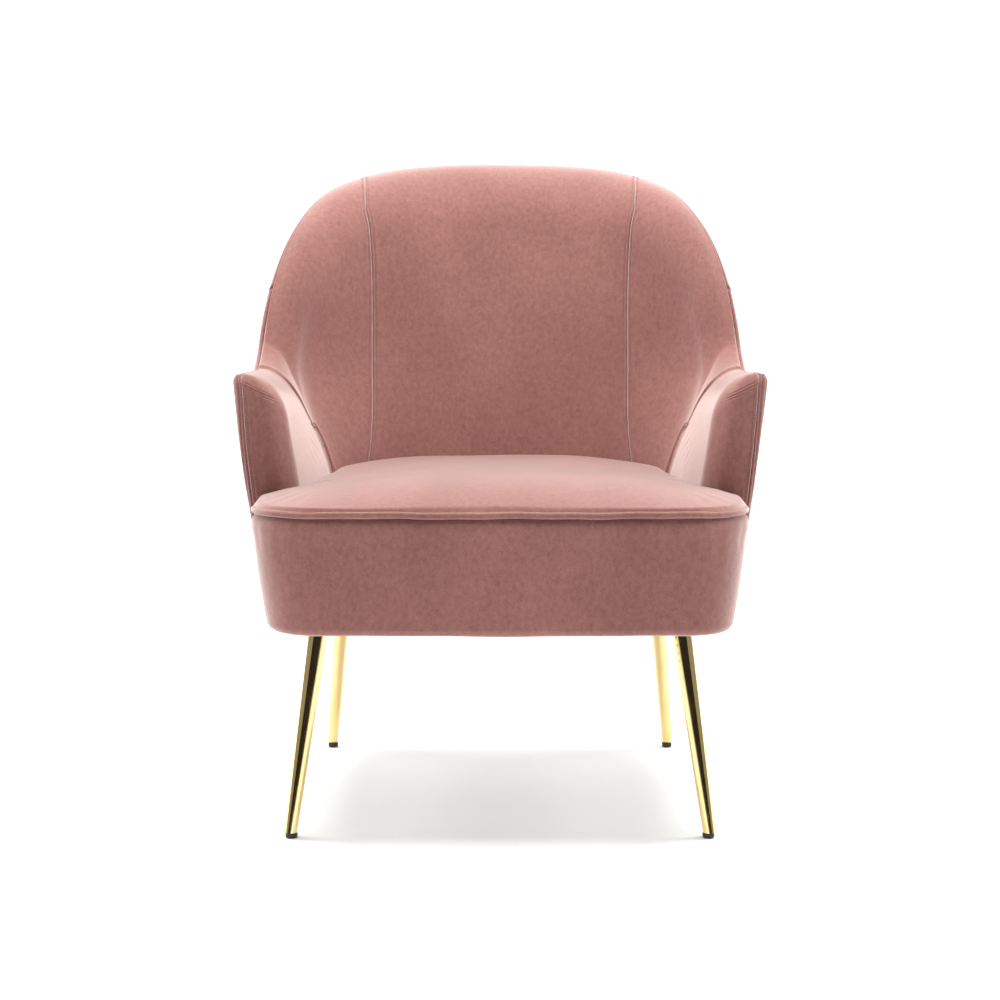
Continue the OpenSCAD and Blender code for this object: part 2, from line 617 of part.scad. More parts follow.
// Larger than the whole chair, for cutting shapes.
big = 2000;
module rail(y0, y1, x0, x1) {
    color(wood) difference() {
        translate([0, 0, rail_z0]) linear_extrude(rail_h) intersection() {
            frame_ring();
            translate([x0, y0]) square([x1 - x0, y1 - y0]);
        }
        screw_holes();
    }
}
module base_front_rail() { rail(-big, side_y0, -big, big); }
module base_rear_rail() { rail(side_y1, big, -big, big); }
module base_left_rail() { rail(side_y0, side_y1, -big, 0); }
module base_right_rail() { rail(side_y0, side_y1, 0, big); }

block_w = 90;
module corner_blocks() {
    color(wood) difference() {
        translate([0, 0, rail_z0]) linear_extrude(rail_h) for (leg = legs) intersection() {
            frame_outline(rail_t);
            translate([leg_top(leg)[0], leg_top(leg)[1]]) rotate(45) square(block_w, center = true);
        }
        screw_holes();
    }
}

spring_y0 = -(frame_front - rail_t / 2);
spring_y1 = frame_rear - rail_t / 2;
spring_margin = 40;
spring_span = 2 * (frame_half - rail_t - spring_margin);
spring_loops = 9;
loop_steps = 8;
spring_swing = 22;
swing_power = 0.6;
outer_shortening = 60;
function spring_x(i) = mix(-spring_span / 2, spring_span / 2, i / (spring_count - 1));
function spring_reach(i) = spring_y1 - outer_shortening * pow(spring_x(i) / (spring_span / 2), 2);
module spring_wire_shape(i) {
    steps = spring_loops * loop_steps;
    y1 = spring_reach(i);
    // The springs of the left half swing the other way, so that the seat is symmetric.
    way = 2 * i < spring_count - 1 ? -1 : 1;
    function mid(k) = [spring_x(i) + way * spring_swing * spow(sin(360 * k / loop_steps), swing_power),
                       mix(spring_y0, y1, k / steps)];
    function side(k) = let (t = mid(min(steps, k + 1)) - mid(max(0, k - 1))) [t[1], -t[0]] / norm(t);
    polygon(concat([for (k = [0 : steps]) mid(k) + side(k) * spring_wire / 2],
        [for (k = [steps : -1 : 0]) mid(k) - side(k) * spring_wire / 2]));
}
module seat_springs() {
    color(steel) translate([0, 0, spring_z]) linear_extrude(spring_wire)
        for (i = [0 : spring_count - 1]) spring_wire_shape(i);
}
module spring_clips() {
    color(steel) for (i = [0 : spring_count - 1], y = [spring_y0 - clip_l, spring_reach(i)])
        translate([spring_x(i) - clip_w / 2, y, rail_z1]) cube([clip_w, clip_l, clip_t]);
}
module spring_felt() {
    color(felt_grey) translate([0, 0, felt_z]) linear_extrude(felt_t) frame_outline(rail_t / 4);
}
dust_hem = 4;
dust_clearance = 0.5;
module dust_cover() {
    color(black) difference() {
        translate([0, 0, base_z]) linear_extrude(dust_t) frame_outline(dust_hem);
        screw_holes(screw_d / 2 + dust_clearance);
    }
}

// ---- legs ----
// Each leg is [side, is it a front leg].
legs = [[-1, true], [1, true], [-1, false], [1, false]];
function foot(leg) = leg[1] ? [leg[0] * front_foot_x, -front_foot_y, 0]
                            : [leg[0] * rear_foot_x, rear_foot_y, 0];
function splay(leg) = leg[1] ? [-leg[0] * front_splay_x, front_splay_y]
                             : [-leg[0] * rear_splay_x, -rear_splay_y];
leg_z0 = glide_h + foot_gap;
plate_z = base_z - plate_t;
function leg_axis(leg, z) = let (k = z / plate_z) foot(leg) + [splay(leg)[0] * k, splay(leg)[1] * k, z];
function leg_top(leg) = leg_axis(leg, plate_z);

// Draws its children along the leg's line, with z = 0 at floor level.
module along_leg(leg) {
    d = leg_top(leg) - foot(leg);
    translate(foot(leg)) rotate([0, acos(d[2] / norm(d)), atan2(d[1], d[0])]) children();
}
function leg_length(leg) = norm(leg_top(leg) - foot(leg));
module between_levels(z0, z1) {
    intersection() {
        children();
        translate([-big / 2, -big / 2, z0]) cube([big, big, z1 - z0]);
    }
}
// The cone is drawn past both ends and then cut level. The quarter turn keeps the cone's seam
// line off the highest and lowest points of the slanting cuts.
overrun = 12;
module leg_cone(leg, inset) {
    l = leg_length(leg);
    slope = (leg_top_d - leg_foot_d) / 2 / l;
    along_leg(leg) rotate(90) translate([0, 0, -overrun]) cylinder(
        h = l + 2 * overrun, r1 = leg_foot_d / 2 - inset - slope * overrun,
        r2 = leg_top_d / 2 - inset + slope * overrun);
}
module leg_tube(leg) {
    color(gold) between_levels(leg_z0, plate_z) difference() {
        leg_cone(leg, 0);
        leg_cone(leg, leg_wall);
    }
}
module front_left_leg() { leg_tube(legs[0]); }
module front_right_leg() { leg_tube(legs[1]); }
module rear_left_leg() { leg_tube(legs[2]); }
module rear_right_leg() { leg_tube(legs[3]); }

function screw_spots(leg) = [for (x = [-1, 1], y = [-1, 1])
    [leg_top(leg)[0] + x * plate_pitch / 2, leg_top(leg)[1] + y * plate_pitch / 2]];
head_t = 2;
module screw_holes(r = screw_d / 2) {
    for (leg = legs, p = screw_spots(leg))
        translate([p[0], p[1], plate_z - 1]) cylinder(h = screw_l - head_t + plate_t + 1, r = r);
}
module leg_plates() {
    color(steel) for (leg = legs) difference() {
        translate([leg_top(leg)[0] - plate_w / 2, leg_top(leg)[1] - plate_w / 2, plate_z])
            cube([plate_w, plate_w, plate_t]);
        for (p = screw_spots(leg)) translate([p[0], p[1], plate_z - 1])
            cylinder(h = plate_t + 2, r = screw_d / 2);
    }
}
module leg_screws() {
    color(steel) for (leg = legs, p = screw_spots(leg)) {
        translate([p[0], p[1], plate_z]) cylinder(h = screw_l - head_t, r = screw_d / 2);
        translate([p[0], p[1], plate_z - head_t]) cylinder(h = head_t, r = screw_d);
    }
}

// ---- foot plugs and glides ----
bore_spare = 1.5;
function glide_xy(leg) = let (p = leg_axis(leg, leg_z0 + stem_l / 2)) [p[0], p[1]];
module leg_plugs() {
    color(black) for (leg = legs) difference() {
        between_levels(leg_z0, leg_z0 + plug_h) leg_cone(leg, leg_wall);
        translate([glide_xy(leg)[0], glide_xy(leg)[1], leg_z0 - 1])
            cylinder(h = stem_l + bore_spare + 1, r = stem_d / 2 + stem_clearance);
    }
}
stem_seat = 3;
chamfer_h = 1.5;
chamfer_w = 1;
module glide_stem(leg) {
    color(steel) translate([glide_xy(leg)[0], glide_xy(leg)[1], stem_seat])
        cylinder(h = leg_z0 + stem_l - stem_seat, r = stem_d / 2);
}
module glide_base(leg) {
    color(black) translate([glide_xy(leg)[0], glide_xy(leg)[1], 0]) difference() {
        union() {
            cylinder(h = chamfer_h, r1 = glide_d / 2 - chamfer_w, r2 = glide_d / 2);
            translate([0, 0, chamfer_h]) cylinder(h = glide_h - chamfer_h, r = glide_d / 2);
        }
        translate([0, 0, stem_seat]) cylinder(h = glide_h, r = stem_d / 2);
    }
}
module front_left_glide_stem() { glide_stem(legs[0]); }
module front_right_glide_stem() { glide_stem(legs[1]); }
module rear_left_glide_stem() { glide_stem(legs[2]); }
module rear_right_glide_stem() { glide_stem(legs[3]); }
module front_left_glide_base() { glide_base(legs[0]); }
module front_right_glide_base() { glide_base(legs[1]); }
module rear_left_glide_base() { glide_base(legs[2]); }
module rear_right_glide_base() { glide_base(legs[3]); }

base_front_rail();
base_rear_rail();
base_left_rail();
base_right_rail();
corner_blocks();
seat_springs();
spring_clips();
spring_felt();
seat_foam();
seat_top_cover();
seat_border_cover();
seat_border_padding();
seat_welt();
dust_cover();
back_top_rail();
back_middle_rail();
back_lower_rail();
left_back_post();
right_back_post();
left_arm_rail();
right_arm_rail();
left_arm_sill();
right_arm_sill();
left_arm_post();
right_arm_post();
back_webbing();
back_liner();
left_arm_liner();
right_arm_liner();
back_foam();
left_arm_foam();
right_arm_foam();
back_centre_cover();
back_left_cover();
back_right_cover();
left_arm_cover();
right_arm_cover();
left_arm_facing();
right_arm_facing();
outer_back_cover();
left_outer_cover();
right_outer_cover();
front_left_leg();
front_right_leg();
rear_left_leg();
rear_right_leg();
leg_plates();
leg_screws();
leg_plugs();
front_left_glide_stem();
front_right_glide_stem();
rear_left_glide_stem();
rear_right_glide_stem();
front_left_glide_base();
front_right_glide_base();
rear_left_glide_base();
rear_right_glide_base();
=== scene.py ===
import math

import bmesh
import bpy
import numpy as np
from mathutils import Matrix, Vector


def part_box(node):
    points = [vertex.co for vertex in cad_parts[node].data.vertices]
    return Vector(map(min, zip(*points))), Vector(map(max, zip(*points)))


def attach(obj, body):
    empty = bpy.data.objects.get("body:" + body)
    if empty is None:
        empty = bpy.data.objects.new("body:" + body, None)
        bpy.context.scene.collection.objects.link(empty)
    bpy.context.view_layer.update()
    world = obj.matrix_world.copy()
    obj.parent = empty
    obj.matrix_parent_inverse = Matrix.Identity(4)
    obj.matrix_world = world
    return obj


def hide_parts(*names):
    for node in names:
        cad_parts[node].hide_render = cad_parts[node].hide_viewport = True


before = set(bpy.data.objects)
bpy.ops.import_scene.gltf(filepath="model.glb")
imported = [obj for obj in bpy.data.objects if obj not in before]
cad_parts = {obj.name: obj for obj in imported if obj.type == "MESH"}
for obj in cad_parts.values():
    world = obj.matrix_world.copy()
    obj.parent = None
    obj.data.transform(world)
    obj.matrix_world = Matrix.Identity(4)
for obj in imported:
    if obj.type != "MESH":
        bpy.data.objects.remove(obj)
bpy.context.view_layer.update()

# ---------------------------------------------------------------- sizes, in metres
# The tub follows the CAD model's two plan curves, with fuller arms, a rounder inner corner and a
# softer rolled edge. u runs from -1 at the left arm's front through 0 at the middle of the back to
# 1 at the right arm's front.
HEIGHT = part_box("back_centre_cover")[1].z
BASE_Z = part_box("dust_cover")[0].z
ARM_TOP_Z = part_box("left_arm_facing")[1].z
WELT_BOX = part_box("seat_welt")
WELT_Z = (WELT_BOX[0].z + WELT_BOX[1].z) / 2
WELT_R = (WELT_BOX[1].z - WELT_BOX[0].z) / 2
INNER_BASE_Z = WELT_Z - 0.060

REAR_HALF = 0.339
TOE_IN = 0.009
FRONT_HALF = REAR_HALF - TOE_IN
TOE_RUN = 0.450
TOE_POWER = 1.5
REF_Z = ARM_TOP_Z - 0.008
SIDE_LEAN = 0.108
SIDE_BOW = 0.137
WING_LEAN = -0.019
WING_BOW = 0.457
REAR_Y = 0.350
BACK_LEAN = 0.088
LEAN_POWER = 1.3
ARM_FRONT_Y = 0.206
FRONT_BOW = 0.008
CORNER_Y = 0.080
ARM_T = 0.062
SIDE_T = 0.084
WING_T = 0.050
WING_RISE = 0.200      # height over which the sides thin out and the inner corner moves back
CORNER_START = 0.030
SEAT_CORNER_Y = CORNER_Y - 0.040
WING_CORNER_Y = CORNER_Y + 0.005
BACK_SEAT_T = 0.146
BACK_TOP_T = 0.072
SQUARE = 2.6
INNER_SQUARE = 2.3
REAR_SHARE = 0.6
ARCH_DROP = 0.272
ARCH_SHARES = (0.296, 0.424, 0.28)
WING_FALL = 75 / 290    # share of the arm's length over which the wing comes down to the level arm
# The rolled edge: a small radius outside its crest, and a long soft shoulder inside it.
CREST_W = 0.19
EDGE_R = 0.012
ROLL = 2.2
BACK_SHOULDER = 0.090
WING_SHOULDER = 0.125
ARM_SHOULDER = 0.058
# Where round the plan, as |u|, one outline starts to give way to the next, and over how much.
WING_BLEND = (0.2, 0.25)
ARM_BLEND = (0.52, 0.18)
EDGE_SEAM_BLEND = (0.18, 0.24)
EDGE_SEAM_S = (1.15, 1.42)

SEAM_U = 0.24
WING_U = 0.52
JOINT_U = 0.64
JOINT_AHEAD = 0.035
JOINT_LEAN = 0.150
SEAM_X = 0.190
SEAM_FLARE = 0.020
SEAM_FLARE_TOP = 0.200  # above the welt, and SEAM_FLARE_RUN is the height the flare takes
SEAM_FLARE_RUN = 0.170
COVER_T = 0.002
PAD_T = 0.010
PANEL_CROWN = 0.0022   # how much fuller a back panel is between its seams than at them
FACING_CROWN = 0.0045

FACING_T = 0.010
ARM_RUN = 0.715        # metres along an arm for each unit of u
SEAT_GAP = 0.002
STEP_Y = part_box("left_arm_facing")[0].y - SEAT_GAP + FRONT_BOW / 2
SEAT_FRONT_Y = 0.350
SEAT_HALF = 0.298
SEAT_CORNER_R = 0.085
SEAT_BOW = 0.008
SEAT_CROWN = 0.036
RISE = 0.150
BORDER_HALF = 0.280
BORDER_CORNER_R = 0.062
BORDER_LEAN = 0.012

TWIN = 0.0050          # from a twin-needle seam to each of its stitch rows
STITCH_L = 0.0031
STITCH_PITCH = 0.0042


# ---------------------------------------------------------------- the tub's faces
def mix(a, b, k):
    return a + (b - a) * k


def smooth(k):
    c = np.clip(k, 0, 1)
    return c * c * (3 - 2 * c)


def blend(u, start, run):
    return smooth((np.abs(u) - start) / run)


def arched(k):
    """A half ellipse: 0 at 0 and 1, and 1 in the middle."""
    return np.sqrt(np.clip(4 * k * (1 - k), 0, 1))


def bump(k):
    """1 at 0, falling smoothly to 0 at -1 and 1."""
    return np.clip(1 - np.asarray(k) ** 2, 0, 1) ** 2


def front_half_at(z):
    d = np.minimum(z - REF_Z, 0)
    return FRONT_HALF + SIDE_LEAN * d - SIDE_BOW * d * d


def rear_half_at(z):
    d = z - REF_Z
    below = front_half_at(z) + TOE_IN * (1 + d / TOE_RUN)
    return np.where(d < 0, below, REAR_HALF + WING_LEAN * d - WING_BOW * d * d)


def rear_y_at(z):
    t = np.clip((z - BASE_Z) / (HEIGHT - BASE_Z), 0, None)
    return REAR_Y - BACK_LEAN * (1 - t ** LEAN_POWER)


def front_y_at(z):
    t = np.clip((z - WELT_Z) / (ARM_TOP_Z - WELT_Z), 0, 1)
    return -ARM_FRONT_Y - FRONT_BOW * np.sin(np.pi * t)


def side_t_at(z):
    return mix(SIDE_T, WING_T, smooth((z - WELT_Z) / WING_RISE))


def inner_corner_y_at(z):
    return mix(SEAT_CORNER_Y, WING_CORNER_Y, smooth((z - WELT_Z - CORNER_START) / WING_RISE))


def inner_y_at(z):
    t = np.clip((z - WELT_Z) / (HEIGHT - WELT_Z), 0, 1)
    return rear_y_at(np.maximum(z, WELT_Z)) - mix(BACK_SEAT_T, BACK_TOP_T, t)


def even(t):
    a, b = t ** (SQUARE / 2), (1 - t) ** (SQUARE / 2)
    return a / (a + b)


def rear_share_of(u):
    return np.minimum(1, np.abs(u) / REAR_SHARE)


def arm_share_of(u):
    return np.maximum(0, (np.abs(u) - REAR_SHARE) / (1 - REAR_SHARE))


def plan(u, half, front, corner_y, rear_y, front_y, power, square):
    """A point on a plan curve: half a superellipse round the rear, then a run along the arm."""
    s = arm_share_of(u)
    p = np.pi / 2 * even(rear_share_of(u))
    x = np.where(s > 0, mix(half, front, s ** power), half * np.sin(p) ** (2 / square))
    y = np.where(s > 0, mix(corner_y, front_y, s), mix(corner_y, rear_y, np.cos(p) ** (2 / square)))
    return np.sign(u) * x, y


def outer_xy(u, z):
    half, front = rear_half_at(z), front_half_at(z)
    return plan(u, half, front, CORNER_Y, rear_y_at(z), front_y_at(z), TOE_POWER, SQUARE)


def inner_xy(u, z):
    zi = np.maximum(z, WELT_Z)
    half = rear_half_at(zi) - side_t_at(z)
    front = front_half_at(zi) - ARM_T
    return plan(u, half, front, inner_corner_y_at(z), inner_y_at(z), front_y_at(z), 1, INNER_SQUARE)


def crest_z(u):
    f = even(rear_share_of(u))
    run = np.maximum(0, 1 - arm_share_of(u) / WING_FALL)
    arm = mix(ARM_TOP_Z, HEIGHT - ARCH_DROP, run * run)
    low, mid, high = ARCH_SHARES
    arch = HEIGHT - ARCH_DROP * (low * f ** 2 + mid * f ** 4 + high * f ** 8)
    return np.where(arm_share_of(u) > 0, arm, arch)


def across(u, z, w):
    """A point across the wall at one height: w is 0 at the outer face and 1 at the inner."""
    ox, oy = outer_xy(u, z)
    ix, iy = inner_xy(u, z)
    return np.stack([mix(ox, ix, w), mix(oy, iy, w), z], -1)


def shoulder_of(u):
    """How far below the crest the inner face starts to stand straight."""
    wing = mix(BACK_SHOULDER, WING_SHOULDER, blend(u, *WING_BLEND))
    return mix(wing, ARM_SHOULDER, blend(u, *ARM_BLEND))


def seam_s(u):
    """Where the outer cover meets the inner ones: behind the edge on top, on it at the sides."""
    return mix(*EDGE_SEAM_S, blend(u, *EDGE_SEAM_BLEND))


def skin(u, s):
    """s is 0 to 1 up the outer face, 1 to 2 over the edge and 2 to 3 down the inner face."""
    u, s = np.broadcast_arrays(np.asarray(u, float), np.asarray(s, float))
    crest, soft = crest_z(u), shoulder_of(u)
    a = np.pi * np.clip(s - 1, 0, 1)
    c = np.abs(np.cos(a)) ** (2 / ROLL)
    up = np.maximum(np.sin(a), 0) ** (2 / ROLL)
    w = np.where(s < 1.5, CREST_W * (1 - c), CREST_W + (1 - CREST_W) * c)
    over = crest - np.where(s < 1.5, EDGE_R, soft) * (1 - up)
    z = np.where(s < 1, mix(BASE_Z, crest - EDGE_R, s),
                 np.where(s > 2, mix(crest - soft, INNER_BASE_Z, s - 2), over))
    return across(u, z, w)


def u_at_x(x, z):
    half = rear_half_at(np.maximum(z, WELT_Z)) - side_t_at(z)
    f = np.arcsin(np.minimum(0.97, x / half) ** (INNER_SQUARE / 2)) / (np.pi / 2)
    r = (f / (1 - f)) ** (2 / SQUARE)
    return REAR_SHARE * r / (1 + r)


def warped_u(u, s):
    """Moves u so that the seam lines of the inner covers run straight up."""
    z = skin(np.full(np.shape(s), SEAM_U), s)[..., 2]
    flare = SEAM_FLARE * (np.maximum(WELT_Z + SEAM_FLARE_TOP - z, 0) / SEAM_FLARE_RUN) ** 2
    seam = u_at_x(SEAM_X + flare, z)
    m = np.abs(u)
    beyond = mix(seam, JOINT_U, (m - SEAM_U) / (JOINT_U - SEAM_U))
    moved = np.where(m <= SEAM_U, m * seam / SEAM_U, np.where(m >= JOINT_U, m, beyond))
    return np.sign(u) * mix(m, moved, np.clip((s - 1.2) * 1.6, 0, 1))


def joined(u, s):
    """Moves u so that the seam between arm and back starts further forward on the rolled edge and
    leans towards the middle lower down."""
    m = np.abs(u)
    ahead = (1 - m) / (1 - JOINT_U)
    top = np.clip(np.where(m < JOINT_U, (m - WING_U) / (JOINT_U - WING_U), ahead), 0, 1)
    low = np.clip(np.where(m < JOINT_U, (m - SEAM_U) / (JOINT_U - SEAM_U), ahead), 0, 1)
    k = smooth((s - 1.6) / 1.0)
    return np.sign(u) * (m + JOINT_AHEAD * top * (1 - k) - JOINT_LEAN * low * k)


# ---------------------------------------------------------------- mesh helpers
def spaced(a, b, step, dense=(), reach=0.0, fine=None):
    """Values from a to b, a step apart, and a fine step apart within reach of each dense value."""
    out = [a]
    while out[-1] < b - 1e-9:
        near = any(abs(out[-1] - d) < reach or 0 < d - reach - out[-1] < fine for d in dense)
        out.append(out[-1] + (fine if near else step))
    out[-1] = b
    for d in dense:
        if a < d < b:
            out[int(np.argmin([abs(v - d) for v in out]))] = d
    return np.array(out)


def normals_of(grid):
    along = np.gradient(grid, axis=1)
    up = np.gradient(grid, axis=0)
    n = np.cross(along, up)
    return n / np.maximum(np.linalg.norm(n, axis=-1, keepdims=True), 1e-12)


def row_lengths(grid):
    """Distance along each row from its first point."""
    step = np.linalg.norm(np.diff(grid, axis=1), axis=-1)
    return np.concatenate([np.zeros((len(grid), 1)), np.cumsum(step, axis=1)], 1)


def column_lengths(grid):
    return row_lengths(grid.transpose(1, 0, 2)).T


def twin_profile(d):
    """Height of a twin-needle seam at distance d: a groove, two soft ridges, two stitched rows."""
    d = np.abs(d)
    groove = -0.0013 * np.exp(-(d / 0.0011) ** 2)
    ridge = 0.0008 * np.exp(-((d - 0.0023) / 0.0014) ** 2)
    row = -0.0009 * np.exp(-((d - TWIN) / 0.0011) ** 2)
    return groove + ridge + row + 0.0004 * np.exp(-((d - 0.0078) / 0.0028) ** 2)


def plain_profile(d):
    """Height beside a plain seam: both covers turn in to it."""
    d = np.abs(d)
    return -0.0030 * np.exp(-(d / 0.0016) ** 2) + 0.0006 * np.exp(-((d - 0.005) / 0.003) ** 2)


def crease(grid, start, end, depth, width):
    """Height of a soft crease between two points, tapering to both ends."""
    start, end = np.array(start), np.array(end)
    line = end - start
    k = np.clip(((grid - start) @ line) / (line @ line), 0, 1)
    gap = np.linalg.norm(grid - (start + k[..., None] * line), axis=-1)
    taper = np.sin(np.pi * np.clip(k, 0.02, 0.98)) ** 0.7
    wall = 0.45 * depth * np.exp(-((gap - 1.9 * width) / width) ** 2)
    return taper * (wall - depth * np.exp(-(gap / width) ** 2))


def drift(grid, size=0.0007):
    """The slow unevenness of stuffed fabric."""
    x, y, z = grid[..., 0], grid[..., 1], grid[..., 2]
    a = np.sin(23 * x + 9 * z + 1.3) * np.cos(17 * z - 11 * y)
    b = np.sin(41 * x - 31 * y + 0.7) * np.cos(37 * z + 13 * x)
    return size * (a + 0.5 * b)


def new_object(name, verts, faces, material, smooth_shade=True):
    mesh = bpy.data.meshes.new(name)
    mesh.from_pydata(np.asarray(verts).tolist(), [], faces)
    mesh.validate()
    bm = bmesh.new()
    bm.from_mesh(mesh)
    bmesh.ops.remove_doubles(bm, verts=bm.verts, dist=2e-5)
    bmesh.ops.recalc_face_normals(bm, faces=bm.faces)
    bm.to_mesh(mesh)
    bm.free()
    for p in mesh.polygons:
        p.use_smooth = smooth_shade
    mesh.materials.append(material)
    obj = bpy.data.objects.new(name, mesh)
    bpy.context.scene.collection.objects.link(obj)
    return obj


def grid_faces(rows, cols, mask=None, closed=False):
    faces = []
    for r in range(rows - 1):
        for c in range(cols if closed else cols - 1):
            if mask is None or mask[r, c]:
                n = (c + 1) % cols
                faces.append((r * cols + c, r * cols + n, (r + 1) * cols + n, (r + 1) * cols + c))
    return faces


# Points inside the wall, below its crest.
WALL_U = np.linspace(-1, 1, 161)
WALL_CORE = np.concatenate([across(WALL_U, crest_z(WALL_U) - 0.030 - drop, 0.4 + 0 * WALL_U)
                            for drop in np.linspace(0, 0.3, 13)])


def outward_at(point):
    """Which way is out of the padding at a point on its surface."""
    near = WALL_CORE[np.argmin(np.linalg.norm(WALL_CORE - np.array(point), axis=1))]
    return Vector(np.array(point) - near)


def thick_piece(name, grid, thickness, material, mask=None):
    """A closed piece of fabric or padding: the grid's face, its back and its edges."""
    rows, cols, _ = grid.shape
    obj = new_object(name, grid.reshape(-1, 3), grid_faces(rows, cols, mask), material)
    middle = obj.data.polygons[len(obj.data.polygons) // 2]
    if middle.normal.dot(outward_at(middle.center)) < 0:
        obj.data.flip_normals()
    solid = obj.modifiers.new("thickness", "SOLIDIFY")
    solid.thickness = thickness
    solid.offset = -1
    solid.use_rim = True
    return obj


def flat_size(grid):
    """Width, length and area of a sheet's grid, measured along the cloth."""
    run, up = row_lengths(grid)[:, -1], column_lengths(grid)[-1]
    return float(run.max()), float(up.max()), float(run.mean() * up.mean())


def tube(name, points, radius, sides, material):
    """A round cord swept along points, closed at both ends."""
    points = np.asarray(points, float)
    heading = np.gradient(points, axis=0)
    heading /= np.linalg.norm(heading, axis=1, keepdims=True)
    up = np.array([0.0, 0.0, 1.0])
    side = np.cross(heading, up)
    side /= np.linalg.norm(side, axis=1, keepdims=True)
    lift = np.cross(side, heading)
    a = np.linspace(0, 2 * np.pi, sides, endpoint=False)
    ring = (np.cos(a)[None, :, None] * side[:, None] + np.sin(a)[None, :, None] * lift[:, None])
    verts = (points[:, None] + radius * ring).reshape(-1, 3)
    faces = grid_faces(len(points), sides, closed=True)
    faces.append(tuple(range(sides)))
    faces.append(tuple(range((len(points) - 1) * sides, len(points) * sides)))
    return new_object(name, verts, faces, material)


def along(points, normals, pitch):
    """Places a pitch apart along a line, with the line's heading and normal there."""
    step = np.linalg.norm(np.diff(points, axis=0), axis=1)
    run = np.concatenate([[0], np.cumsum(step)])
    at = np.arange(pitch / 2, run[-1], pitch)
    place = np.stack([np.interp(at, run, points[:, k]) for k in range(3)], 1)
    ahead = np.stack([np.interp(at + pitch / 3, run, points[:, k]) for k in range(3)], 1)
    behind = np.stack([np.interp(at - pitch / 3, run, points[:, k]) for k in range(3)], 1)
    n = np.stack([np.interp(at, run, normals[:, k]) for k in range(3)], 1)
    heading = ahead - behind
    heading /= np.linalg.norm(heading, axis=1, keepdims=True)
    return place, heading, n / np.linalg.norm(n, axis=1, keepdims=True)


def stitches(name, lines, material):
    """Thread stitches along lines of (points, normals), each a small rounded bar."""
    verts, faces = [], []
    rings = [(-0.5, 0.25), (-0.36, 0.85), (0, 1.0), (0.36, 0.85), (0.5, 0.25)]
    sides, r = 6, 0.00048
    for points, normals in lines:
        for p, h, n in zip(*along(points, normals, STITCH_PITCH)):
            b = np.cross(h, n)
            b /= np.linalg.norm(b)
            base = len(verts)
            for share, swell in rings:
                middle = p + h * (share * STITCH_L) + n * (0.0002 - 0.0006 * (2 * share) ** 2)
                for k in range(sides):
                    a = 2 * math.pi * k / sides
                    verts.append(middle + r * swell * (math.cos(a) * b + math.sin(a) * n))
            for i in range(len(rings) - 1):
                for k in range(sides):
                    m = (k + 1) % sides
                    faces.append((base + i * sides + k, base + i * sides + m,
                                  base + (i + 1) * sides + m, base + (i + 1) * sides + k))
            faces.append(tuple(base + k for k in range(sides)))
            faces.append(tuple(base + (len(rings) - 1) * sides + k for k in range(sides)))
    return new_object(name, verts, faces, material)


def at_distance(grid, normals, column, distance, rows=slice(None)):
    """The line that keeps a distance along the rows from one column, with its normals."""
    run = row_lengths(grid)
    points, ns = [], []
    for r in range(len(grid))[rows]:
        at = run[r, column] + distance
        points.append([np.interp(at, run[r], grid[r, :, k]) for k in range(3)])
        ns.append([np.interp(at, run[r], normals[r, :, k]) for k in range(3)])
    return np.array(points), np.array(ns)


# ---------------------------------------------------------------- materials
def material(name):
    m = bpy.data.materials.new(name)
    m.use_nodes = True
    return m, m.node_tree.nodes, m.node_tree.links, m.node_tree.nodes["Principled BSDF"]


def noise(nodes, links, scale, detail=4.0, rough=0.55, stretch=(1, 1, 1)):
    """A noise texture in the object's own coordinates."""
    where = nodes.new("ShaderNodeTexCoord")
    place = nodes.new("ShaderNodeMapping")
    place.inputs["Scale"].default_value = stretch
    tex = nodes.new("ShaderNodeTexNoise")
    tex.inputs["Scale"].default_value = scale
    tex.inputs["Detail"].default_value = detail
    tex.inputs["Roughness"].default_value = rough
    links.new(where.outputs["Object"], place.inputs["Vector"])
    links.new(place.outputs["Vector"], tex.inputs["Vector"])
    return tex


def ramp(nodes, links, source, stops):
    r = nodes.new("ShaderNodeValToRGB")
    for k, (at, colour) in enumerate(stops):
        e = r.color_ramp.elements[k] if k < 2 else r.color_ramp.elements.new(at)
        e.position = at
        e.color = (*colour, 1)
    links.new(source, r.inputs["Fac"])
    return r


def multiply(nodes, links, a, b, share):
    m = nodes.new("ShaderNodeMix")
    m.data_type = "RGBA"
    m.blend_type = "MULTIPLY"
    m.inputs["Factor"].default_value = share
    links.new(a, m.inputs["A"])
    links.new(b, m.inputs["B"])
    return m


def bumped(nodes, links, shader, heights):
    """Bump from a list of (height output, strength, distance), one over another."""
    last = None
    for height, strength, distance in heights:
        b = nodes.new("ShaderNodeBump")
        b.inputs["Strength"].default_value = strength
        b.inputs["Distance"].default_value = distance
        links.new(height, b.inputs["Height"])
        if last is not None:
            links.new(last, b.inputs["Normal"])
        last = b.outputs["Normal"]
    links.new(last, shader.inputs["Normal"])


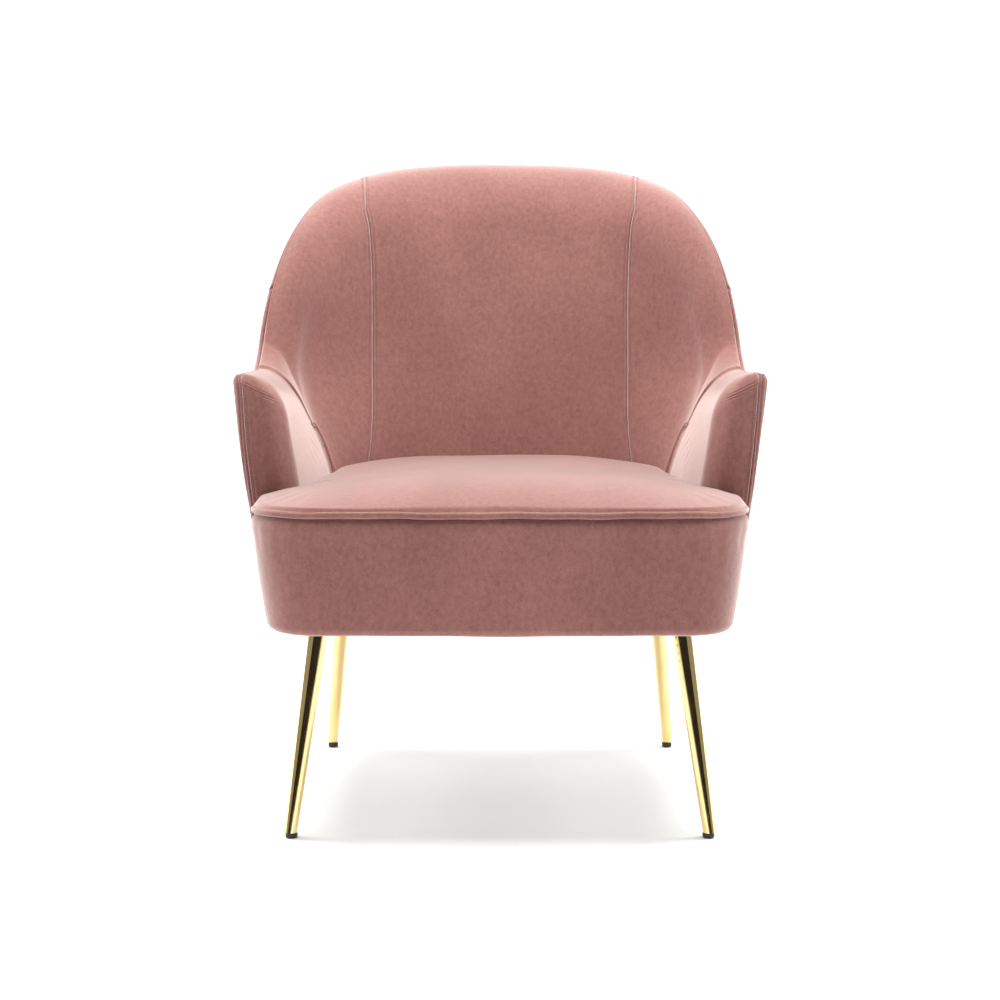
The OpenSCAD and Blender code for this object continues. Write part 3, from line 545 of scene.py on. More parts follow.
def velvet(name, dark, light):
    """Short-pile velvet: dark where seen straight on, with a pale sheen at grazing angles, and
    patches where the pile lies another way."""
    m, nodes, links, s = material(name)
    patches = noise(nodes, links, 9, 3, 0.5, (1, 1, 0.6))
    fibre = noise(nodes, links, 1400, 2, 0.6)
    mottle = noise(nodes, links, 170, 4, 0.65, (1, 1, 0.7))
    base = ramp(nodes, links, patches.outputs["Fac"], [(0.30, dark), (0.72, light)])
    grain = ramp(nodes, links, mottle.outputs["Fac"],
                 [(0.28, (0.72, 0.69, 0.69)), (0.68, (1, 1, 1))])
    pile = ramp(nodes, links, fibre.outputs["Fac"], [(0.30, (0.50, 0.47, 0.47)), (0.66, (1, 1, 1))])
    tone = multiply(nodes, links, base.outputs["Color"], grain.outputs["Color"], 1)
    tone = multiply(nodes, links, tone.outputs["Result"], pile.outputs["Color"], 0.8)
    links.new(tone.outputs["Result"], s.inputs["Base Color"])
    rough = ramp(nodes, links, mottle.outputs["Fac"], [(0.3, (0.78,) * 3), (0.7, (0.92,) * 3)])
    links.new(rough.outputs["Color"], s.inputs["Roughness"])
    s.inputs["Specular IOR Level"].default_value = 0.22
    s.inputs["Sheen Weight"].default_value = 1.0
    s.inputs["Sheen Roughness"].default_value = 0.42
    s.inputs["Sheen Tint"].default_value = (1.0, 0.90, 0.86, 1)
    bumped(nodes, links, s, [(mottle.outputs["Fac"], 0.22, 0.0012),
                             (fibre.outputs["Fac"], 0.35, 0.0004)])
    return m


def polished_gold():
    """Mirror-polished plated steel with faint drawing lines and a little wear in the gloss."""
    m, nodes, links, s = material("polished_gold")
    cloud = noise(nodes, links, 30, 3, 0.5)
    lines = noise(nodes, links, 260, 2, 0.5, (1, 1, 0.02))
    colour = ramp(nodes, links, cloud.outputs["Fac"],
                  [(0.3, (0.86, 0.62, 0.27)), (0.7, (0.92, 0.70, 0.34))])
    links.new(colour.outputs["Color"], s.inputs["Base Color"])
    gloss = ramp(nodes, links, cloud.outputs["Fac"], [(0.35, (0.05,) * 3), (0.75, (0.11,) * 3)])
    links.new(gloss.outputs["Color"], s.inputs["Roughness"])
    s.inputs["Metallic"].default_value = 1.0
    bumped(nodes, links, s, [(lines.outputs["Fac"], 0.03, 0.0005)])
    return m


def plain(name, dark, light, scale, rough, metallic=0.0, grain=0.0006, stretch=(1, 1, 1),
          sheen=0.0):
    """A mottled material for a part that hardly shows: colour, roughness and relief vary."""
    m, nodes, links, s = material(name)
    tex = noise(nodes, links, scale, 5, 0.6, stretch)
    fine = noise(nodes, links, scale * 7, 2, 0.5, stretch)
    colour = ramp(nodes, links, tex.outputs["Fac"], [(0.3, dark), (0.7, light)])
    links.new(colour.outputs["Color"], s.inputs["Base Color"])
    tone = ramp(nodes, links, fine.outputs["Fac"],
                [(0.3, (rough - 0.06,) * 3), (0.7, (rough + 0.06,) * 3)])
    links.new(tone.outputs["Color"], s.inputs["Roughness"])
    s.inputs["Metallic"].default_value = metallic
    s.inputs["Sheen Weight"].default_value = sheen
    bumped(nodes, links, s, [(tex.outputs["Fac"], 0.3, grain),
                             (fine.outputs["Fac"], 0.3, grain / 3)])
    return m


def woven(name, dark, light, pitch, rough):
    """Two crossed sets of threads, for webbing and the cloth under the seat."""
    m, nodes, links, s = material(name)
    where = nodes.new("ShaderNodeTexCoord")
    heights = []
    for direction in ("X", "Z"):
        w = nodes.new("ShaderNodeTexWave")
        w.bands_direction = direction
        w.inputs["Scale"].default_value = 1 / pitch / 3
        w.inputs["Distortion"].default_value = 0.4
        links.new(where.outputs["Object"], w.inputs["Vector"])
        heights.append(w.outputs["Fac"])
    both = nodes.new("ShaderNodeMath")
    both.operation = "MAXIMUM"
    links.new(heights[0], both.inputs[0])
    links.new(heights[1], both.inputs[1])
    colour = ramp(nodes, links, both.outputs["Value"], [(0.2, dark), (0.8, light)])
    links.new(colour.outputs["Color"], s.inputs["Base Color"])
    s.inputs["Roughness"].default_value = rough
    bumped(nodes, links, s, [(both.outputs["Value"], 0.5, 0.0004)])
    return m


VELVET = velvet("rose_velvet", (0.322, 0.140, 0.121), (0.392, 0.178, 0.154))
# The outer cover pieces take the same velvet made about 4% darker: painted shade.
VELVET_PAINTED_SHADE = velvet("rose_velvet_outer", (0.310, 0.134, 0.116), (0.378, 0.171, 0.148))
THREAD = plain("rose_thread", (0.30, 0.130, 0.112), (0.38, 0.175, 0.152), 900, 0.8, sheen=0.1)
CAD_LOOKS = {
    "gold": polished_gold(),
    "wood": plain("plywood", (0.52, 0.34, 0.17), (0.70, 0.50, 0.29), 22, 0.62, stretch=(1, 1, 9)),
    "zinc_steel": plain("zinc_steel", (0.50, 0.51, 0.53), (0.68, 0.69, 0.70), 60, 0.34, 1.0),
    "felt": plain("grey_felt", (0.14, 0.14, 0.15), (0.30, 0.30, 0.31), 240, 0.93, sheen=0.4),
    "wadding": plain("wadding", (0.82, 0.81, 0.78), (0.93, 0.92, 0.90), 120, 0.95, sheen=0.3),
    "foam": plain("foam", (0.80, 0.71, 0.46), (0.90, 0.82, 0.60), 500, 0.9),
    "dust_cloth": woven("dust_cloth", (0.008, 0.008, 0.009), (0.030, 0.030, 0.032), 0.0012, 0.9),
    "webbing": woven("webbing", (0.010, 0.010, 0.011), (0.055, 0.055, 0.058), 0.0020, 0.7),
    "fibreboard": plain("fibreboard", (0.20, 0.125, 0.070), (0.33, 0.22, 0.13), 90, 0.8),
    "black_plastic": plain("black_plastic", (0.010, 0.010, 0.011), (0.022, 0.022, 0.024), 300,
                           0.42),
    "velvet": VELVET,
}


# ---------------------------------------------------------------- camera and studio
CAMERA_AT = (0.0, -2.43, 0.604)
CAMERA_DOWN = 2.55      # degrees below level
LENS = 64.8
FLOOR_REACH = 6.0


def studio():
    scene = bpy.context.scene
    data = bpy.data.cameras.new("camera")
    data.sensor_width = 36
    data.lens = LENS
    data.shift_y = -0.08
    data.clip_start = 0.05
    camera = bpy.data.objects.new("camera", data)
    scene.collection.objects.link(camera)
    camera.location = CAMERA_AT
    camera.rotation_euler = (math.radians(90 - CAMERA_DOWN), 0, 0)
    scene.camera = camera
    scene.view_settings.view_transform = "Standard"

    world = bpy.data.worlds.new("studio")
    world.use_nodes = True
    world.node_tree.nodes["Background"].inputs["Color"].default_value = (1.0, 0.995, 0.985, 1)
    world.node_tree.nodes["Background"].inputs["Strength"].default_value = 0.34
    scene.world = world

    floor_m, nodes, links, s = material("studio_floor")
    cloud = noise(nodes, links, 1.5, 2, 0.5)
    tone = ramp(nodes, links, cloud.outputs["Fac"],
                [(0.3, (0.95, 0.95, 0.945)), (0.7, (0.97, 0.97, 0.965))])
    links.new(tone.outputs["Color"], s.inputs["Base Color"])
    s.inputs["Roughness"].default_value = 0.9
    s.inputs["Emission Color"].default_value = (1, 1, 1, 1)
    s.inputs["Emission Strength"].default_value = 0.12
    floor = new_object("floor", [(-FLOOR_REACH, -FLOOR_REACH, 0), (FLOOR_REACH, -FLOOR_REACH, 0),
                                 (FLOOR_REACH, FLOOR_REACH, 0), (-FLOOR_REACH, FLOOR_REACH, 0)],
                       [(0, 1, 2, 3)], floor_m, False)

    def upright(name, half_width, y, low, high, material):
        """A card that stands across the view."""
        corners = [(-half_width, y, low), (half_width, y, low), (half_width, y, high),
                   (-half_width, y, high)]
        return new_object(name, corners, [(0, 1, 2, 3)], material, False)

    def lamp(name, place, aim, width, height, power, colour=(1, 1, 1)):
        light = bpy.data.lights.new(name, "AREA")
        light.shape = "RECTANGLE"
        light.size = width
        light.size_y = height
        light.energy = power
        light.color = colour
        obj = bpy.data.objects.new(name, light)
        scene.collection.objects.link(obj)
        obj.location = place
        obj.rotation_euler = (Vector(aim) - Vector(place)).to_track_quat("-Z", "Y").to_euler()

    lamp("top_light", (0.0, -0.15, 2.7), (0, 0.05, 0.5), 2.4, 1.8, 112, (1, 0.99, 0.97))
    lamp("left_light", (-2.3, 0.5, 1.7), (0, 0, 0.5), 1.2, 1.8, 44)
    lamp("right_light", (2.3, 0.5, 1.7), (0, 0, 0.5), 1.2, 1.8, 44)

    glow_m, nodes, links, s = material("backdrop")
    s.inputs["Base Color"].default_value = (0.9, 0.9, 0.9, 1)
    s.inputs["Roughness"].default_value = 1.0
    s.inputs["Emission Color"].default_value = (1.0, 0.998, 0.99, 1)
    s.inputs["Emission Strength"].default_value = 1.0
    back = upright("backdrop", 9, FLOOR_REACH, -0.01, 8, glow_m)

    # The legs mirror this dark card, as they would a dark room behind the camera.
    card_m, nodes, links, s = material("dark_card")
    s.inputs["Base Color"].default_value = (0.004, 0.004, 0.004, 1)
    s.inputs["Roughness"].default_value = 1.0
    card = upright("dark_card", 3.2, -3.0, 0.10, 1.7, card_m)
    card.visible_camera = False
    card.visible_diffuse = False
    card.visible_shadow = False


# ---------------------------------------------------------------- the back
def seam_rows():
    """Shares of the way down the inner cover, close together at its upper seam."""
    over = spaced(0.0, 0.5, 0.022, (0.0,), 0.08, 0.007)
    down = np.linspace(0.5, 1, 120)[1:]
    return np.concatenate([over, down])


def inner_s(u, share):
    """s for a share of the way from the upper seam (0) by the shoulder (0.5) to the bottom (1)."""
    return np.where(share < 0.5, mix(seam_s(u), 2, 2 * share), 1 + 2 * share)


def back_columns(u0, u1):
    fine = 0.0011 / 0.86
    return spaced(u0, u1, 0.0048, (-JOINT_U, -SEAM_U, SEAM_U, JOINT_U), 0.013, fine)


def back_grid():
    """The whole inner back with its seams sewn in, and the columns of the seams."""
    us = back_columns(-JOINT_U, JOINT_U)
    rows = seam_rows()
    uu, shares = np.meshgrid(us, rows)
    ss = inner_s(uu, shares)
    grid = skin(joined(warped_u(uu, ss), ss), ss)
    n = -normals_of(grid)
    if n[len(rows) // 2, len(us) // 2, 1] > 0:
        n = -n
    run = row_lengths(grid)
    down = column_lengths(grid)
    height = drift(grid)
    columns = {k: int(np.argmin(abs(us - v))) for k, v in
               (("left", -SEAM_U), ("right", SEAM_U), ("first", -JOINT_U), ("last", JOINT_U))}
    for c in columns.values():
        height = height + twin_profile(run - run[:, c:c + 1])
    # Each panel is a little fuller between its seams than at them.
    for a, b in (("first", "left"), ("left", "right"), ("right", "last")):
        k = (run - run[:, [columns[a]]]) / (run[:, [columns[b]]] - run[:, [columns[a]]])
        height = height + np.where((k > 0) & (k < 1), PANEL_CROWN * arched(k), 0)
    height = height + plain_profile(down)
    grid = grid + n * height[..., None]
    return grid, n, columns


def make_back():
    grid, n, columns = back_grid()
    made = []
    for name, a, b in (("back_left_panel", "first", "left"), ("back_centre_panel", "left", "right"),
                       ("back_right_panel", "right", "last")):
        part = grid[:, columns[a]:columns[b] + 1]
        obj = thick_piece(name, part, PAD_T, VELVET)
        made.append(obj)
    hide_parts("back_left_cover")
    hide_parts("back_centre_cover", "back_foam")
    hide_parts("back_right_cover")
    lines = []
    for c in ("left", "right"):
        for d in (-TWIN, TWIN):
            lines.append(at_distance(grid, n, columns[c], d))
    lines.append(at_distance(grid, n, columns["first"], TWIN))
    lines.append(at_distance(grid, n, columns["last"], -TWIN))
    thread = stitches("back_topstitching", lines, THREAD)
    for obj in made + [thread]:
        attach(obj, "chair")


def make_outer_back():
    us = spaced(-WING_U, WING_U, 0.006, (-WING_U, WING_U), 0.012, 0.0015)
    rows = np.concatenate([np.linspace(0, 0.88, 90), spaced(0.885, 1.0, 0.02, (1.0,), 0.1, 0.006)])
    uu, shares = np.meshgrid(us, rows)
    ss = np.where(shares < 0.9, shares / 0.9, mix(1, seam_s(uu), (shares - 0.9) * 10))
    grid = skin(uu, ss)
    n = normals_of(grid)
    if n[len(rows) // 2, len(us) // 2, 1] < 0:
        n = -n
    run, up = row_lengths(grid), column_lengths(grid)
    height = drift(grid, 0.0005) + plain_profile(run) + plain_profile(run - run[:, -1:])
    height = height + plain_profile(up - up[-1:])
    # The cloth turns under the base.
    height = height - 0.006 * np.clip(1 - up / 0.010, 0, 1) ** 2
    grid = grid + n * height[..., None]
    # Painted shade: the outer back uses the darker copy of the velvet.
    obj = thick_piece("outer_back_panel", grid, COVER_T, VELVET_PAINTED_SHADE)
    width, length, area = flat_size(grid)
    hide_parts("outer_back_cover")
    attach(obj, "chair")


# ---------------------------------------------------------------- the arms
OUTER_TURN = FACING_T + ARM_T       # where the front's outer corner is, along the arm's outline
LEVEL_SEAM = 1.84                   # the level of the seam between inner and outer covers
LEVEL_DART = 1.22
STRIP_TOP = 0.0125
STRIP_LOW = 0.0055


def front_seam_at(z):
    """Where along the outline the seam of the outer cover stands, for a height."""
    k = np.clip((z - WELT_Z) / (ARM_TOP_Z - WELT_Z), 0, 1)
    return OUTER_TURN - mix(STRIP_LOW, STRIP_TOP, k)


FRONT_SEAM = OUTER_TURN - STRIP_TOP
# The arm's front is rounded by averaging its outline over this much to each side of a point.
LEAST_SOFT = 0.0008
INNER_SOFT = 0.032
OUTER_SOFT = 0.0070
OUTER_SOFT_REACH = 0.018


def level_point(side, t, level):
    """A point of an arm's outline before its corners are softened.
    t is 0 at the inner face's front end, negative towards the rear, and grows round the front.
    level is 0 at the bottom, 1 at the shoulder and 2 on the crest."""
    back = np.where(t < 0, t, np.where(t > OUTER_TURN + FACING_T, OUTER_TURN + FACING_T - t, 0))
    u = side * (1 + back / ARM_RUN)
    a = np.pi / 2 * np.clip(level - 1, 0, 1)
    narrow = np.where(level >= 2, 0, np.maximum(np.cos(a), 0) ** (2 / ROLL))
    up = np.sin(a) ** (2 / ROLL)
    low = mix(INNER_BASE_Z, BASE_Z, smooth((t + 0.030) / 0.030))
    on_inner = t <= FACING_T
    inner_u, outer_u = joined(u, 3 - level), joined(u, 1 + 0 * u)
    soft = shoulder_of(inner_u)
    inner_top, outer_top = crest_z(inner_u), crest_z(outer_u)
    inner_z = np.where(level < 1, mix(low, inner_top - soft, level), inner_top - soft * (1 - up))
    outer_z = np.where(level < 1, mix(low, outer_top - EDGE_R, level),
                       outer_top - EDGE_R * (1 - up))
    inner = across(inner_u, inner_z, CREST_W + (1 - CREST_W) * narrow)
    outer = across(outer_u, outer_z, CREST_W * (1 - narrow))
    share = np.clip((t - FACING_T) / ARM_T, 0, 1)[..., None]
    p = np.where(on_inner[..., None], inner, np.where((t >= OUTER_TURN)[..., None], outer,
                                                      mix(inner, outer, share)))
    ahead = np.clip(t, 0, FACING_T)
    ahead = np.where(t > OUTER_TURN, np.clip(OUTER_TURN + FACING_T - t, 0, FACING_T), ahead)
    crown = FACING_CROWN * arched(share[..., 0])
    p[..., 1] = p[..., 1] - (ahead + crown) * narrow
    return p


def arm_grid(side):
    end = OUTER_TURN + FACING_T
    joint = (1 - JOINT_U) * ARM_RUN
    wing = (1 - WING_U) * ARM_RUN
    inner_t = -spaced(0.0, joint, 0.0046, (joint,), 0.010, 0.0011)[::-1]
    front_t = spaced(0.0, end, 0.0022, (FRONT_SEAM,), 0.009, 0.0009)[1:]
    outer_t = end - inner_t[::-1][1:]
    rest_t = end + spaced(joint, wing, 0.0046, (wing,), 0.008, 0.0014)[1:]
    ts = np.concatenate([inner_t, front_t, outer_t, rest_t])
    levels = np.concatenate([
        np.linspace(0, 0.97, 70),
        spaced(0.98, LEVEL_SEAM, 0.020, (LEVEL_DART, LEVEL_SEAM), 0.13, 0.010),
        spaced(LEVEL_SEAM, 2.0, 0.012)[1:]])
    tt, ll = np.meshgrid(ts, levels)
    # The seam of the outer cover comes nearer the edge lower down.
    z = mix(BASE_Z, ARM_TOP_Z - EDGE_R, np.clip(ll, 0, 1))
    seam = front_seam_at(z)
    warped = np.where(tt <= FACING_T, tt, np.where(
        tt <= FRONT_SEAM, FACING_T + (tt - FACING_T) * (seam - FACING_T) / (FRONT_SEAM - FACING_T),
        np.where(tt <= OUTER_TURN, seam + (tt - FRONT_SEAM) * (OUTER_TURN - seam) / STRIP_TOP, tt)))
    soft = (LEAST_SOFT + INNER_SOFT * bump((warped - FACING_T) / (2 * INNER_SOFT))
            + OUTER_SOFT * bump((warped - OUTER_TURN) / OUTER_SOFT_REACH))
    grid = np.zeros(tt.shape + (3,))
    samples = np.linspace(-1, 1, 13)
    for k in samples:
        grid += level_point(side, warped + k * soft, ll) / len(samples)
    grid[-1] = level_point(side, ts, np.full(len(ts), 2.0))
    return ts, levels, grid


def arm_pieces(side, word):
    ts, levels, grid = arm_grid(side)
    n = normals_of(grid) * side
    if (n[len(levels) // 3, len(ts) // 6, 0] * side) > 0:
        n = -n
    run = row_lengths(grid)
    up = column_lengths(grid)
    tt, ll = np.meshgrid(ts, levels)
    seam_c = int(np.argmin(abs(ts - FRONT_SEAM)))
    seam_r = int(np.argmin(abs(levels - LEVEL_SEAM)))
    dart_r = int(np.argmin(abs(levels - LEVEL_DART)))
    joint_c = int(np.argmin(abs(ts - (OUTER_TURN + FACING_T + (1 - JOINT_U) * ARM_RUN))))
    from_seam = run - run[:, [seam_c]]
    height = drift(grid, 0.0006) + twin_profile(run)
    lower = np.clip((LEVEL_SEAM - ll) / 0.10, 0, 1)
    height = height + twin_profile(from_seam) * lower
    outer_half = tt > FRONT_SEAM
    height = height + np.where(outer_half, plain_profile(up - up[[seam_r]]), 0)
    from_joint = run - run[:, [joint_c]]
    height = height + np.where(ll >= LEVEL_SEAM, twin_profile(from_joint), 0)
    height = height + np.where(ll <= LEVEL_SEAM, plain_profile(run[:, -1:] - run), 0)
    dart = twin_profile((up - up[[dart_r]]) * 1.25)
    reach = smooth((tt - 0.006) / 0.012) * (tt <= FRONT_SEAM + 0.0005)
    height = height + 0.5 * dart * reach
    # The sides swell a little, and pull in at the seat.
    height = height + 0.003 * bump((ll - 0.62) / 0.55) * bump((tt + 0.115) / 0.14)
    for start, end, depth, width in arm_creases(side):
        height = height + crease(grid, start, end, depth, width)
    grid = grid + n * height[..., None]
    rows, cols = len(levels), len(ts)
    cover = np.zeros((rows - 1, cols - 1), bool)
    cover[:, :seam_c] = True
    cover[seam_r:, seam_c:joint_c] = True
    outer = np.zeros((rows - 1, cols - 1), bool)
    outer[:seam_r, seam_c:] = True
    arm = thick_piece(f"{word}_arm_panel", grid, 0.004, VELVET, cover)
    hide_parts(f"{word}_arm_cover", f"{word}_arm_foam", f"{word}_arm_facing")
    # Painted shade: the outer arm panels use the darker copy of the velvet.
    shell = thick_piece(f"{word}_outer_panel", grid, COVER_T, VELVET_PAINTED_SHADE, outer)
    width, length, area = flat_size(grid[:seam_r + 1, seam_c:])
    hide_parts(f"{word}_outer_cover")
    low_r = int(np.argmin(abs(levels - 0.30)))
    lines = []
    for d in (-TWIN, TWIN):
        lines.append(at_distance(grid, n, seam_c, d, slice(0, seam_r - 1)))
    lines.append(at_distance(grid, n, 0, TWIN, slice(low_r, None)))
    lines.append(at_distance(grid, n, joint_c, -TWIN, slice(seam_r, None)))
    first = int(np.argmin(abs(ts - 0.008)))
    for d in (-TWIN * 0.8, TWIN * 0.8):
        turned = grid[:, first:seam_c].transpose(1, 0, 2)
        lines.append(at_distance(turned, n[:, first:seam_c].transpose(1, 0, 2), dart_r, d))
    thread = stitches(f"{word}_arm_topstitching", lines, THREAD)
    for obj in (arm, shell, thread):
        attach(obj, "chair")


def arm_creases(side):
    """Short pulls where the arm's cover tucks in beside the seat and the back."""
    found = []
    for x, y, z, dx, dy, dz in ((0.243, 0.000, 0.452, 0.012, -0.040, 0.020),
                                (0.240, 0.030, 0.455, 0.015, -0.030, 0.045),
                                (0.250, -0.050, 0.430, 0.004, -0.030, 0.030)):
        found.append(((side * x, y, z), (side * (x + dx), y + dy, z + dz), 0.0007, 0.0045))
    return found


# ---------------------------------------------------------------- the seat
def front_outline(half, front_y, r, bow, count_arc=26, count_front=90, count_side=10):
    """From the right end round the front to the left end."""
    points = [(half, STEP_Y)]
    side_y = -(front_y - bow) + r
    for k in np.linspace(0, 1, count_side)[1:-1]:
        points.append((half, mix(STEP_Y, side_y, k)))
    for a in np.linspace(0, -np.pi / 2, count_arc):
        points.append((half - r + r * math.cos(a), -(front_y - bow) + r + r * math.sin(a)))
    flat = half - r
    for x in np.linspace(flat, -flat, count_front)[1:-1]:
        points.append((x, -(front_y - bow) - bow * (1 - (x / flat) ** 2)))
    for a in np.linspace(-np.pi / 2, 0, count_arc):
        points.append((-(half - r + r * math.cos(a)), -(front_y - bow) + r + r * math.sin(a)))
    for k in np.linspace(1, 0, count_side)[1:-1]:
        points.append((-half, mix(STEP_Y, side_y, k)))
    points.append((-half, STEP_Y))
    return np.array(points)


def rear_outline(inset, end_y):
    """From the left end round the rear to the right end, along the tub's inner face."""
    us = np.linspace(-1, 1, 221)
    x, y = inner_xy(us, np.full(len(us), WELT_Z))
    centre = np.array([0, inner_corner_y_at(WELT_Z) - 0.040])
    d = np.stack([x, y], 1) - centre
    p = centre + d * (1 - inset / np.linalg.norm(d, axis=1, keepdims=True))
    p[0] = (-(abs(x[0]) - inset), end_y)
    p[-1] = (abs(x[-1]) - inset, end_y)
    return p


def front_line(x):
    flat = SEAT_HALF - SEAT_CORNER_R
    bow = SEAT_BOW * np.minimum(1, np.abs(x) / flat) ** 2
    over = np.clip(np.abs(x) - flat, 0, SEAT_CORNER_R)
    turn = np.where(np.abs(x) > flat, SEAT_CORNER_R - np.sqrt(SEAT_CORNER_R ** 2 - over ** 2), 0)
    return -(SEAT_FRONT_Y - bow) + turn


def seat_z(x, y):
    d = np.clip((y - front_line(x)) / RISE, 0, 1)
    rise = SEAT_CROWN * (1 - (1 - d) ** 2.4)
    across_it = 1 - 0.8 * np.minimum(1, np.abs(x) / SEAT_HALF) ** 2.6
    return WELT_Z + WELT_R + 0.0033 + rise * across_it


def resampled(points, step):
    d = np.concatenate([[0], np.cumsum(np.linalg.norm(np.diff(points, axis=0), axis=1))])
    at = np.linspace(0, d[-1], int(d[-1] / step))
    return np.stack([np.interp(at, d, points[:, k]) for k in range(points.shape[1])], 1)


def make_seat():
    rim = np.concatenate([rear_outline(SEAT_GAP, STEP_Y),
                          front_outline(SEAT_HALF, SEAT_FRONT_Y, SEAT_CORNER_R, SEAT_BOW)])
    rim = resampled(np.concatenate([rim, rim[:1]]), 0.0048)[:-1]
    hub = np.array([0, STEP_Y - 0.020])
    out = np.linalg.norm(rim - hub, axis=1)
    behind = rim[:, 1] > STEP_Y - 0.004
    shares = 1 - np.linspace(1, 0, 90) ** 1.6 * 0.995
    loops = []
    for k in shares:
        p = hub + (rim - hub) * k
        z = seat_z(p[:, 0], p[:, 1])
        gap = out * (1 - k)
        tuck = np.where(behind, 0.016 * np.exp(-(gap / 0.009) ** 1.3), 0.0)
        edge = np.where(behind, 0.0, 0.0036 * np.exp(-(gap / 0.0035) ** 2))
        loops.append(np.column_stack([p, z - tuck - edge]))
    top = np.array(loops)
    height = drift(top, 0.0008)
    for start, end, depth, width in seat_creases():
        height = height + crease(top, start, end, depth, width)
    top[..., 2] += height
    low_z = WELT_Z - 0.030
    sides = []
    for z, inset in ((WELT_Z + WELT_R - 0.001, 0.001), (WELT_Z, 0.006), (low_z, 0.010)):
        p = hub + (rim - hub) * (1 - inset / out)[:, None]
        sides.append(np.column_stack([p, np.full(len(p), z)]))
    floor = np.column_stack([hub + (rim - hub) * 0.02, np.full(len(rim), low_z)])
    grid = np.concatenate([top, np.array(sides), floor[None]])
    rows, cols = grid.shape[:2]
    faces = grid_faces(rows, cols, closed=True)
    faces.append(tuple(range(cols)))
    faces.append(tuple((rows - 1) * cols + k for k in range(cols)))
    seat = new_object("seat_cushion", grid.reshape(-1, 3), faces, VELVET)
    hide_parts("seat_top_cover", "seat_foam")
    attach(seat, "chair")


def seat_corner(side, degrees):
    """The centre of a front corner's curve, and a direction out from it."""
    a = math.radians(degrees)
    centre = np.array([side * (SEAT_HALF - SEAT_CORNER_R),
                       -(SEAT_FRONT_Y - SEAT_BOW) + SEAT_CORNER_R])
    return centre, np.array([side * math.cos(a), math.sin(a)])


def seat_creases():
    """Faint pulls over the cushion's front corners and beside the arms."""
    found = []
    for side in (-1, 1):
        for a, length, depth in ((-20, 0.050, 0.0003), (-44, 0.065, 0.0004), (-66, 0.055, 0.0003)):
            c, d = seat_corner(side, a)
            p, q = c + d * (SEAT_CORNER_R - 0.004), c + d * (SEAT_CORNER_R - length)
            found.append(((*p, float(seat_z(*p))), (*q, float(seat_z(*q))), depth, 0.005))
        for y, dx in ((-0.195, 0.050), (-0.060, 0.035)):
            p, q = np.array([side * 0.246, y]), np.array([side * (0.246 - dx), y - 0.020])
            found.append(((*p, float(seat_z(*p))), (*q, float(seat_z(*q))), 0.0008, 0.005))
    return found


def border_outline(v, inset):
    k = 1 - (1 - v) ** 1.6
    return front_outline(mix(BORDER_HALF, SEAT_HALF, k) - inset,
                         SEAT_FRONT_Y - BORDER_LEAN * (1 - k) - inset,
                         mix(BORDER_CORNER_R, SEAT_CORNER_R, k) - inset, SEAT_BOW)


def make_border():
    top = WELT_Z - WELT_R * 0.6
    under = 0.012
    low = BASE_Z - 0.003
    rows = []
    for k in np.linspace(0, 1, 7)[:-1]:
        a = math.pi / 2 * k
        rows.append((0.0, under * (1 - math.sin(a)), low + under * 0.7 * (1 - math.cos(a))))
    for v in np.linspace(under * 0.7 / (top - low), 1, 60):
        rows.append((v, 0.0, mix(low, top, v)))
    loops = []
    for v, inset, z in rows:
        p = border_outline(v, inset)
        loops.append(np.column_stack([p, np.full(len(p), z)]))
    grid = np.array(loops)
    n = normals_of(grid)
    if n[40, grid.shape[1] // 2, 1] > 0:
        n = -n
    up = column_lengths(grid)
    from_top = up[-1:] - up
    height = drift(grid, 0.0009) - 0.0050 * np.exp(-(from_top / 0.0050) ** 2)
    height = height + 0.0020 * np.exp(-((from_top - 0.016) / 0.010) ** 2)
    for start, end, depth, width in border_creases():
        height = height + crease(grid, start, end, depth, width)
    grid = grid + n * height[..., None]
    obj = thick_piece("seat_border_panel", grid, 0.006, VELVET)
    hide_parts("seat_border_cover", "seat_border_padding")
    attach(obj, "chair")


def border_creases():
    found = []
    for side in (-1, 1):
        for a, drop, depth in ((-30, 0.05, 0.0008), (-58, 0.07, 0.0009)):
            c, d = seat_corner(side, a)
            p = c + d * SEAT_CORNER_R
            foot = (p[0] - side * 0.004, p[1] + 0.002, WELT_Z - drop)
            found.append(((*p, WELT_Z - 0.008), foot, depth, 0.006))
    return found


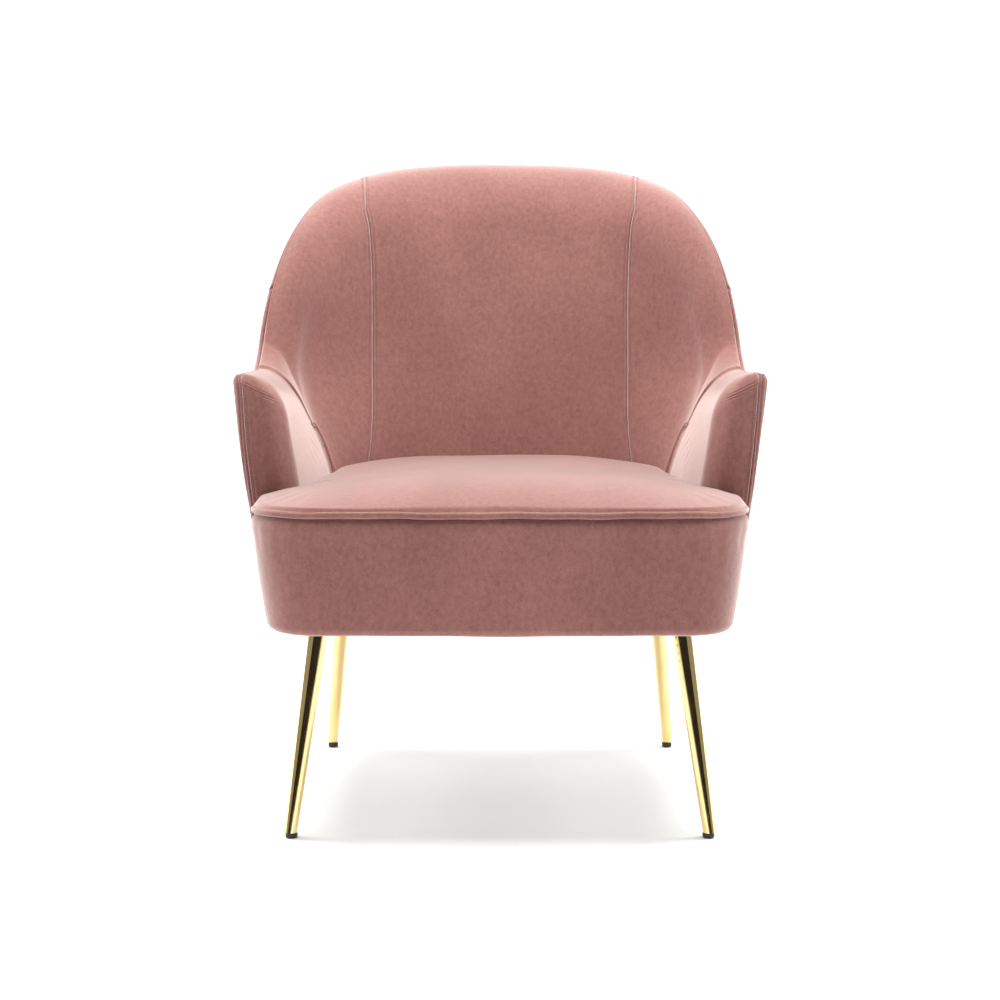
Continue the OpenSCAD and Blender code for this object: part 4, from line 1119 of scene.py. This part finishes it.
def make_welt():
    """Piping round the seat's front, its ends turned into the gaps beside the arms."""
    path = front_outline(SEAT_HALF - 0.001, SEAT_FRONT_Y - 0.001, SEAT_CORNER_R - 0.001, SEAT_BOW)
    path = resampled(path, 0.003)
    z = WELT_Z + 0.0005 * np.sin(path[:, 0] * 38 + 0.8) + 0.0003 * np.sin(path[:, 0] * 91)
    ends = []
    for side in (1, -1):
        tail = []
        for k in np.linspace(1, 0, 8)[:-1]:
            a = k * math.pi / 2
            x = SEAT_HALF - 0.001 - 0.012 * (1 - math.cos(a))
            tail.append((side * x, STEP_Y + 0.0005 + 0.010 * math.sin(a), WELT_Z + 0.003 * k))
        ends.append(tail)
    first, last = np.array(ends[0]), np.array(ends[1])[::-1]
    points = np.concatenate([first, np.column_stack([path, z]), last])
    piping = tube("seat_piping", points, WELT_R * 1.15, 14, VELVET)
    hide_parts("seat_welt")
    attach(piping, "chair")


def make_dust_cover():
    """Black cloth stapled under the base, sagging a little between its edges."""
    hem = 0.014
    us = np.linspace(-0.75, 0.75, 120)
    x, y = outer_xy(us, np.full(len(us), BASE_Z))
    rear = np.stack([x, y], 1)
    front = front_outline(BORDER_HALF, SEAT_FRONT_Y - BORDER_LEAN, SEAT_CORNER_R, SEAT_BOW)
    edge = resampled(np.concatenate([rear, front, rear[:1]]), 0.008)[:-1]
    centre = edge.mean(0)
    out = np.linalg.norm(edge - centre, axis=1)
    gather = np.cos(np.arange(len(edge)) * 2 * np.pi / 5)
    loops = []
    for k in 1 - np.linspace(1, 0, 40) ** 1.5 * 0.99:
        p = centre + (edge - centre) * (k * (1 - hem / out))[:, None]
        pleats = 0.0006 * gather * np.exp(-(1 - k) / 0.06)
        loops.append(np.column_stack([p, BASE_Z - 0.0012 - 0.002 * (1 - k ** 2) + pleats]))
    grid = np.array(loops)
    rows, cols = grid.shape[:2]
    faces = grid_faces(rows, cols, closed=True) + [tuple(range(cols))]
    obj = new_object("dust_cloth_panel", grid.reshape(-1, 3), faces, CAD_LOOKS["dust_cloth"])
    solid = obj.modifiers.new("thickness", "SOLIDIFY")
    solid.thickness = 0.0006
    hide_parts("dust_cover")
    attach(obj, "chair")


# ---------------------------------------------------------------- the carried-over CAD nodes
def finish_cad_nodes():
    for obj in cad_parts.values():
        look = CAD_LOOKS[obj.data.materials[0].name.split(".")[0]]
        obj.data.materials.clear()
        obj.data.materials.append(look)


studio()
finish_cad_nodes()
make_back()
make_outer_back()
arm_pieces(-1, "left")
arm_pieces(1, "right")
make_seat()
make_border()
make_welt()
make_dust_cover()
